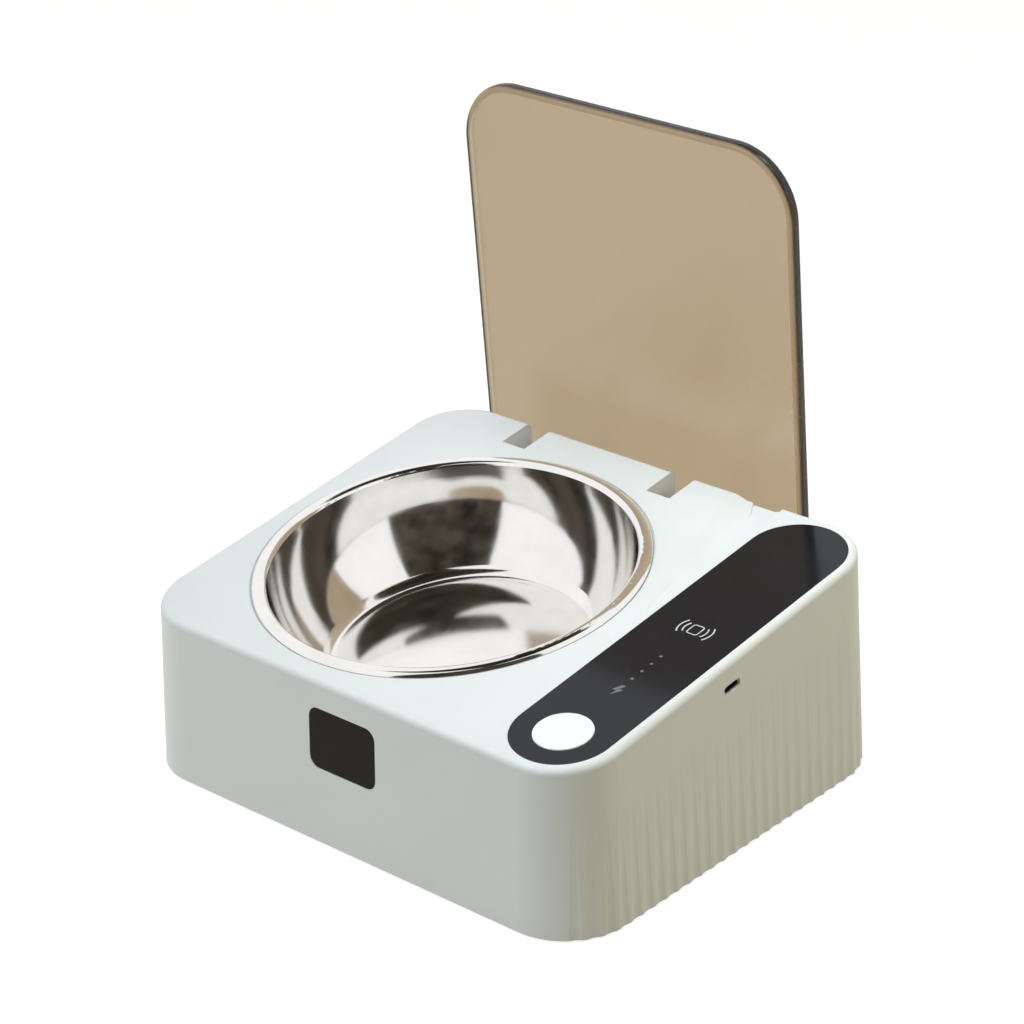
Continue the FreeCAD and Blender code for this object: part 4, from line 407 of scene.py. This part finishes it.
def flag(name, place, aim, wide, tall, dark, light):
    """A dark card that only reflections show, as a studio sets round polished metal."""
    paint, nodes, links, shader = tree_of(name + "_paint")
    spot, blur = noise(nodes, 7, 2)
    links.new(spot.outputs["Object"], blur.inputs["Vector"])
    links.new(mottle(nodes, links, blur.outputs["Fac"], dark, light), shader.inputs["Base Color"])
    shader.inputs["Roughness"].default_value = 0.9
    shader.inputs["Specular IOR Level"].default_value = 0.1
    back = (Vector(aim) - Vector(place)).to_track_quat("Z", "Y").to_matrix()
    across, upright = back @ Vector((wide / 2, 0, 0)), back @ Vector((0, tall / 2, 0))
    centre = Vector(place)
    card = plane(name, [centre - across - upright, centre + across - upright,
                        centre + across + upright, centre - across + upright], paint)
    card.visible_camera = False
    card.visible_diffuse = False
    card.visible_transmission = False
    card.visible_shadow = False


flag("flag_front", (0.33, -0.36, 0.46), (-0.025, -0.006, 0.46), 0.76, 0.92, (0.05, 0.042, 0.036), (0.22, 0.18, 0.15))
flag("flag_top", (0.03, 0.0, 0.62), (0.03, 0.0, 0), 0.46, 0.46, (0.04, 0.035, 0.03), (0.16, 0.14, 0.12))


def set_world():
    """White behind the object and in its reflections, and a plain level of fill light."""
    world = bpy.data.worlds.new("world")
    world.use_nodes = True
    nodes, links = world.node_tree.nodes, world.node_tree.links
    fill = nodes["Background"]
    fill.inputs["Color"].default_value = (1.0, 0.98, 0.95, 1)
    fill.inputs["Strength"].default_value = 0.22
    seen = nodes.new("ShaderNodeBackground")
    seen.inputs["Color"].default_value = (1, 1, 1, 1)
    seen.inputs["Strength"].default_value = 1.0
    path = nodes.new("ShaderNodeLightPath")
    either = nodes.new("ShaderNodeMath")
    either.operation = "MAXIMUM"
    links.new(path.outputs["Is Camera Ray"], either.inputs[0])
    links.new(path.outputs["Is Transmission Ray"], either.inputs[1])
    any_view = nodes.new("ShaderNodeMath")
    any_view.operation = "MAXIMUM"
    links.new(either.outputs[0], any_view.inputs[0])
    links.new(path.outputs["Is Glossy Ray"], any_view.inputs[1])
    mix = nodes.new("ShaderNodeMixShader")
    links.new(any_view.outputs[0], mix.inputs["Fac"])
    links.new(fill.outputs["Background"], mix.inputs[1])
    links.new(seen.outputs["Background"], mix.inputs[2])
    links.new(mix.outputs["Shader"], nodes["World Output"].inputs["Surface"])
    bpy.context.scene.world = world


set_world()
bpy.context.scene.view_settings.view_transform = "Standard"
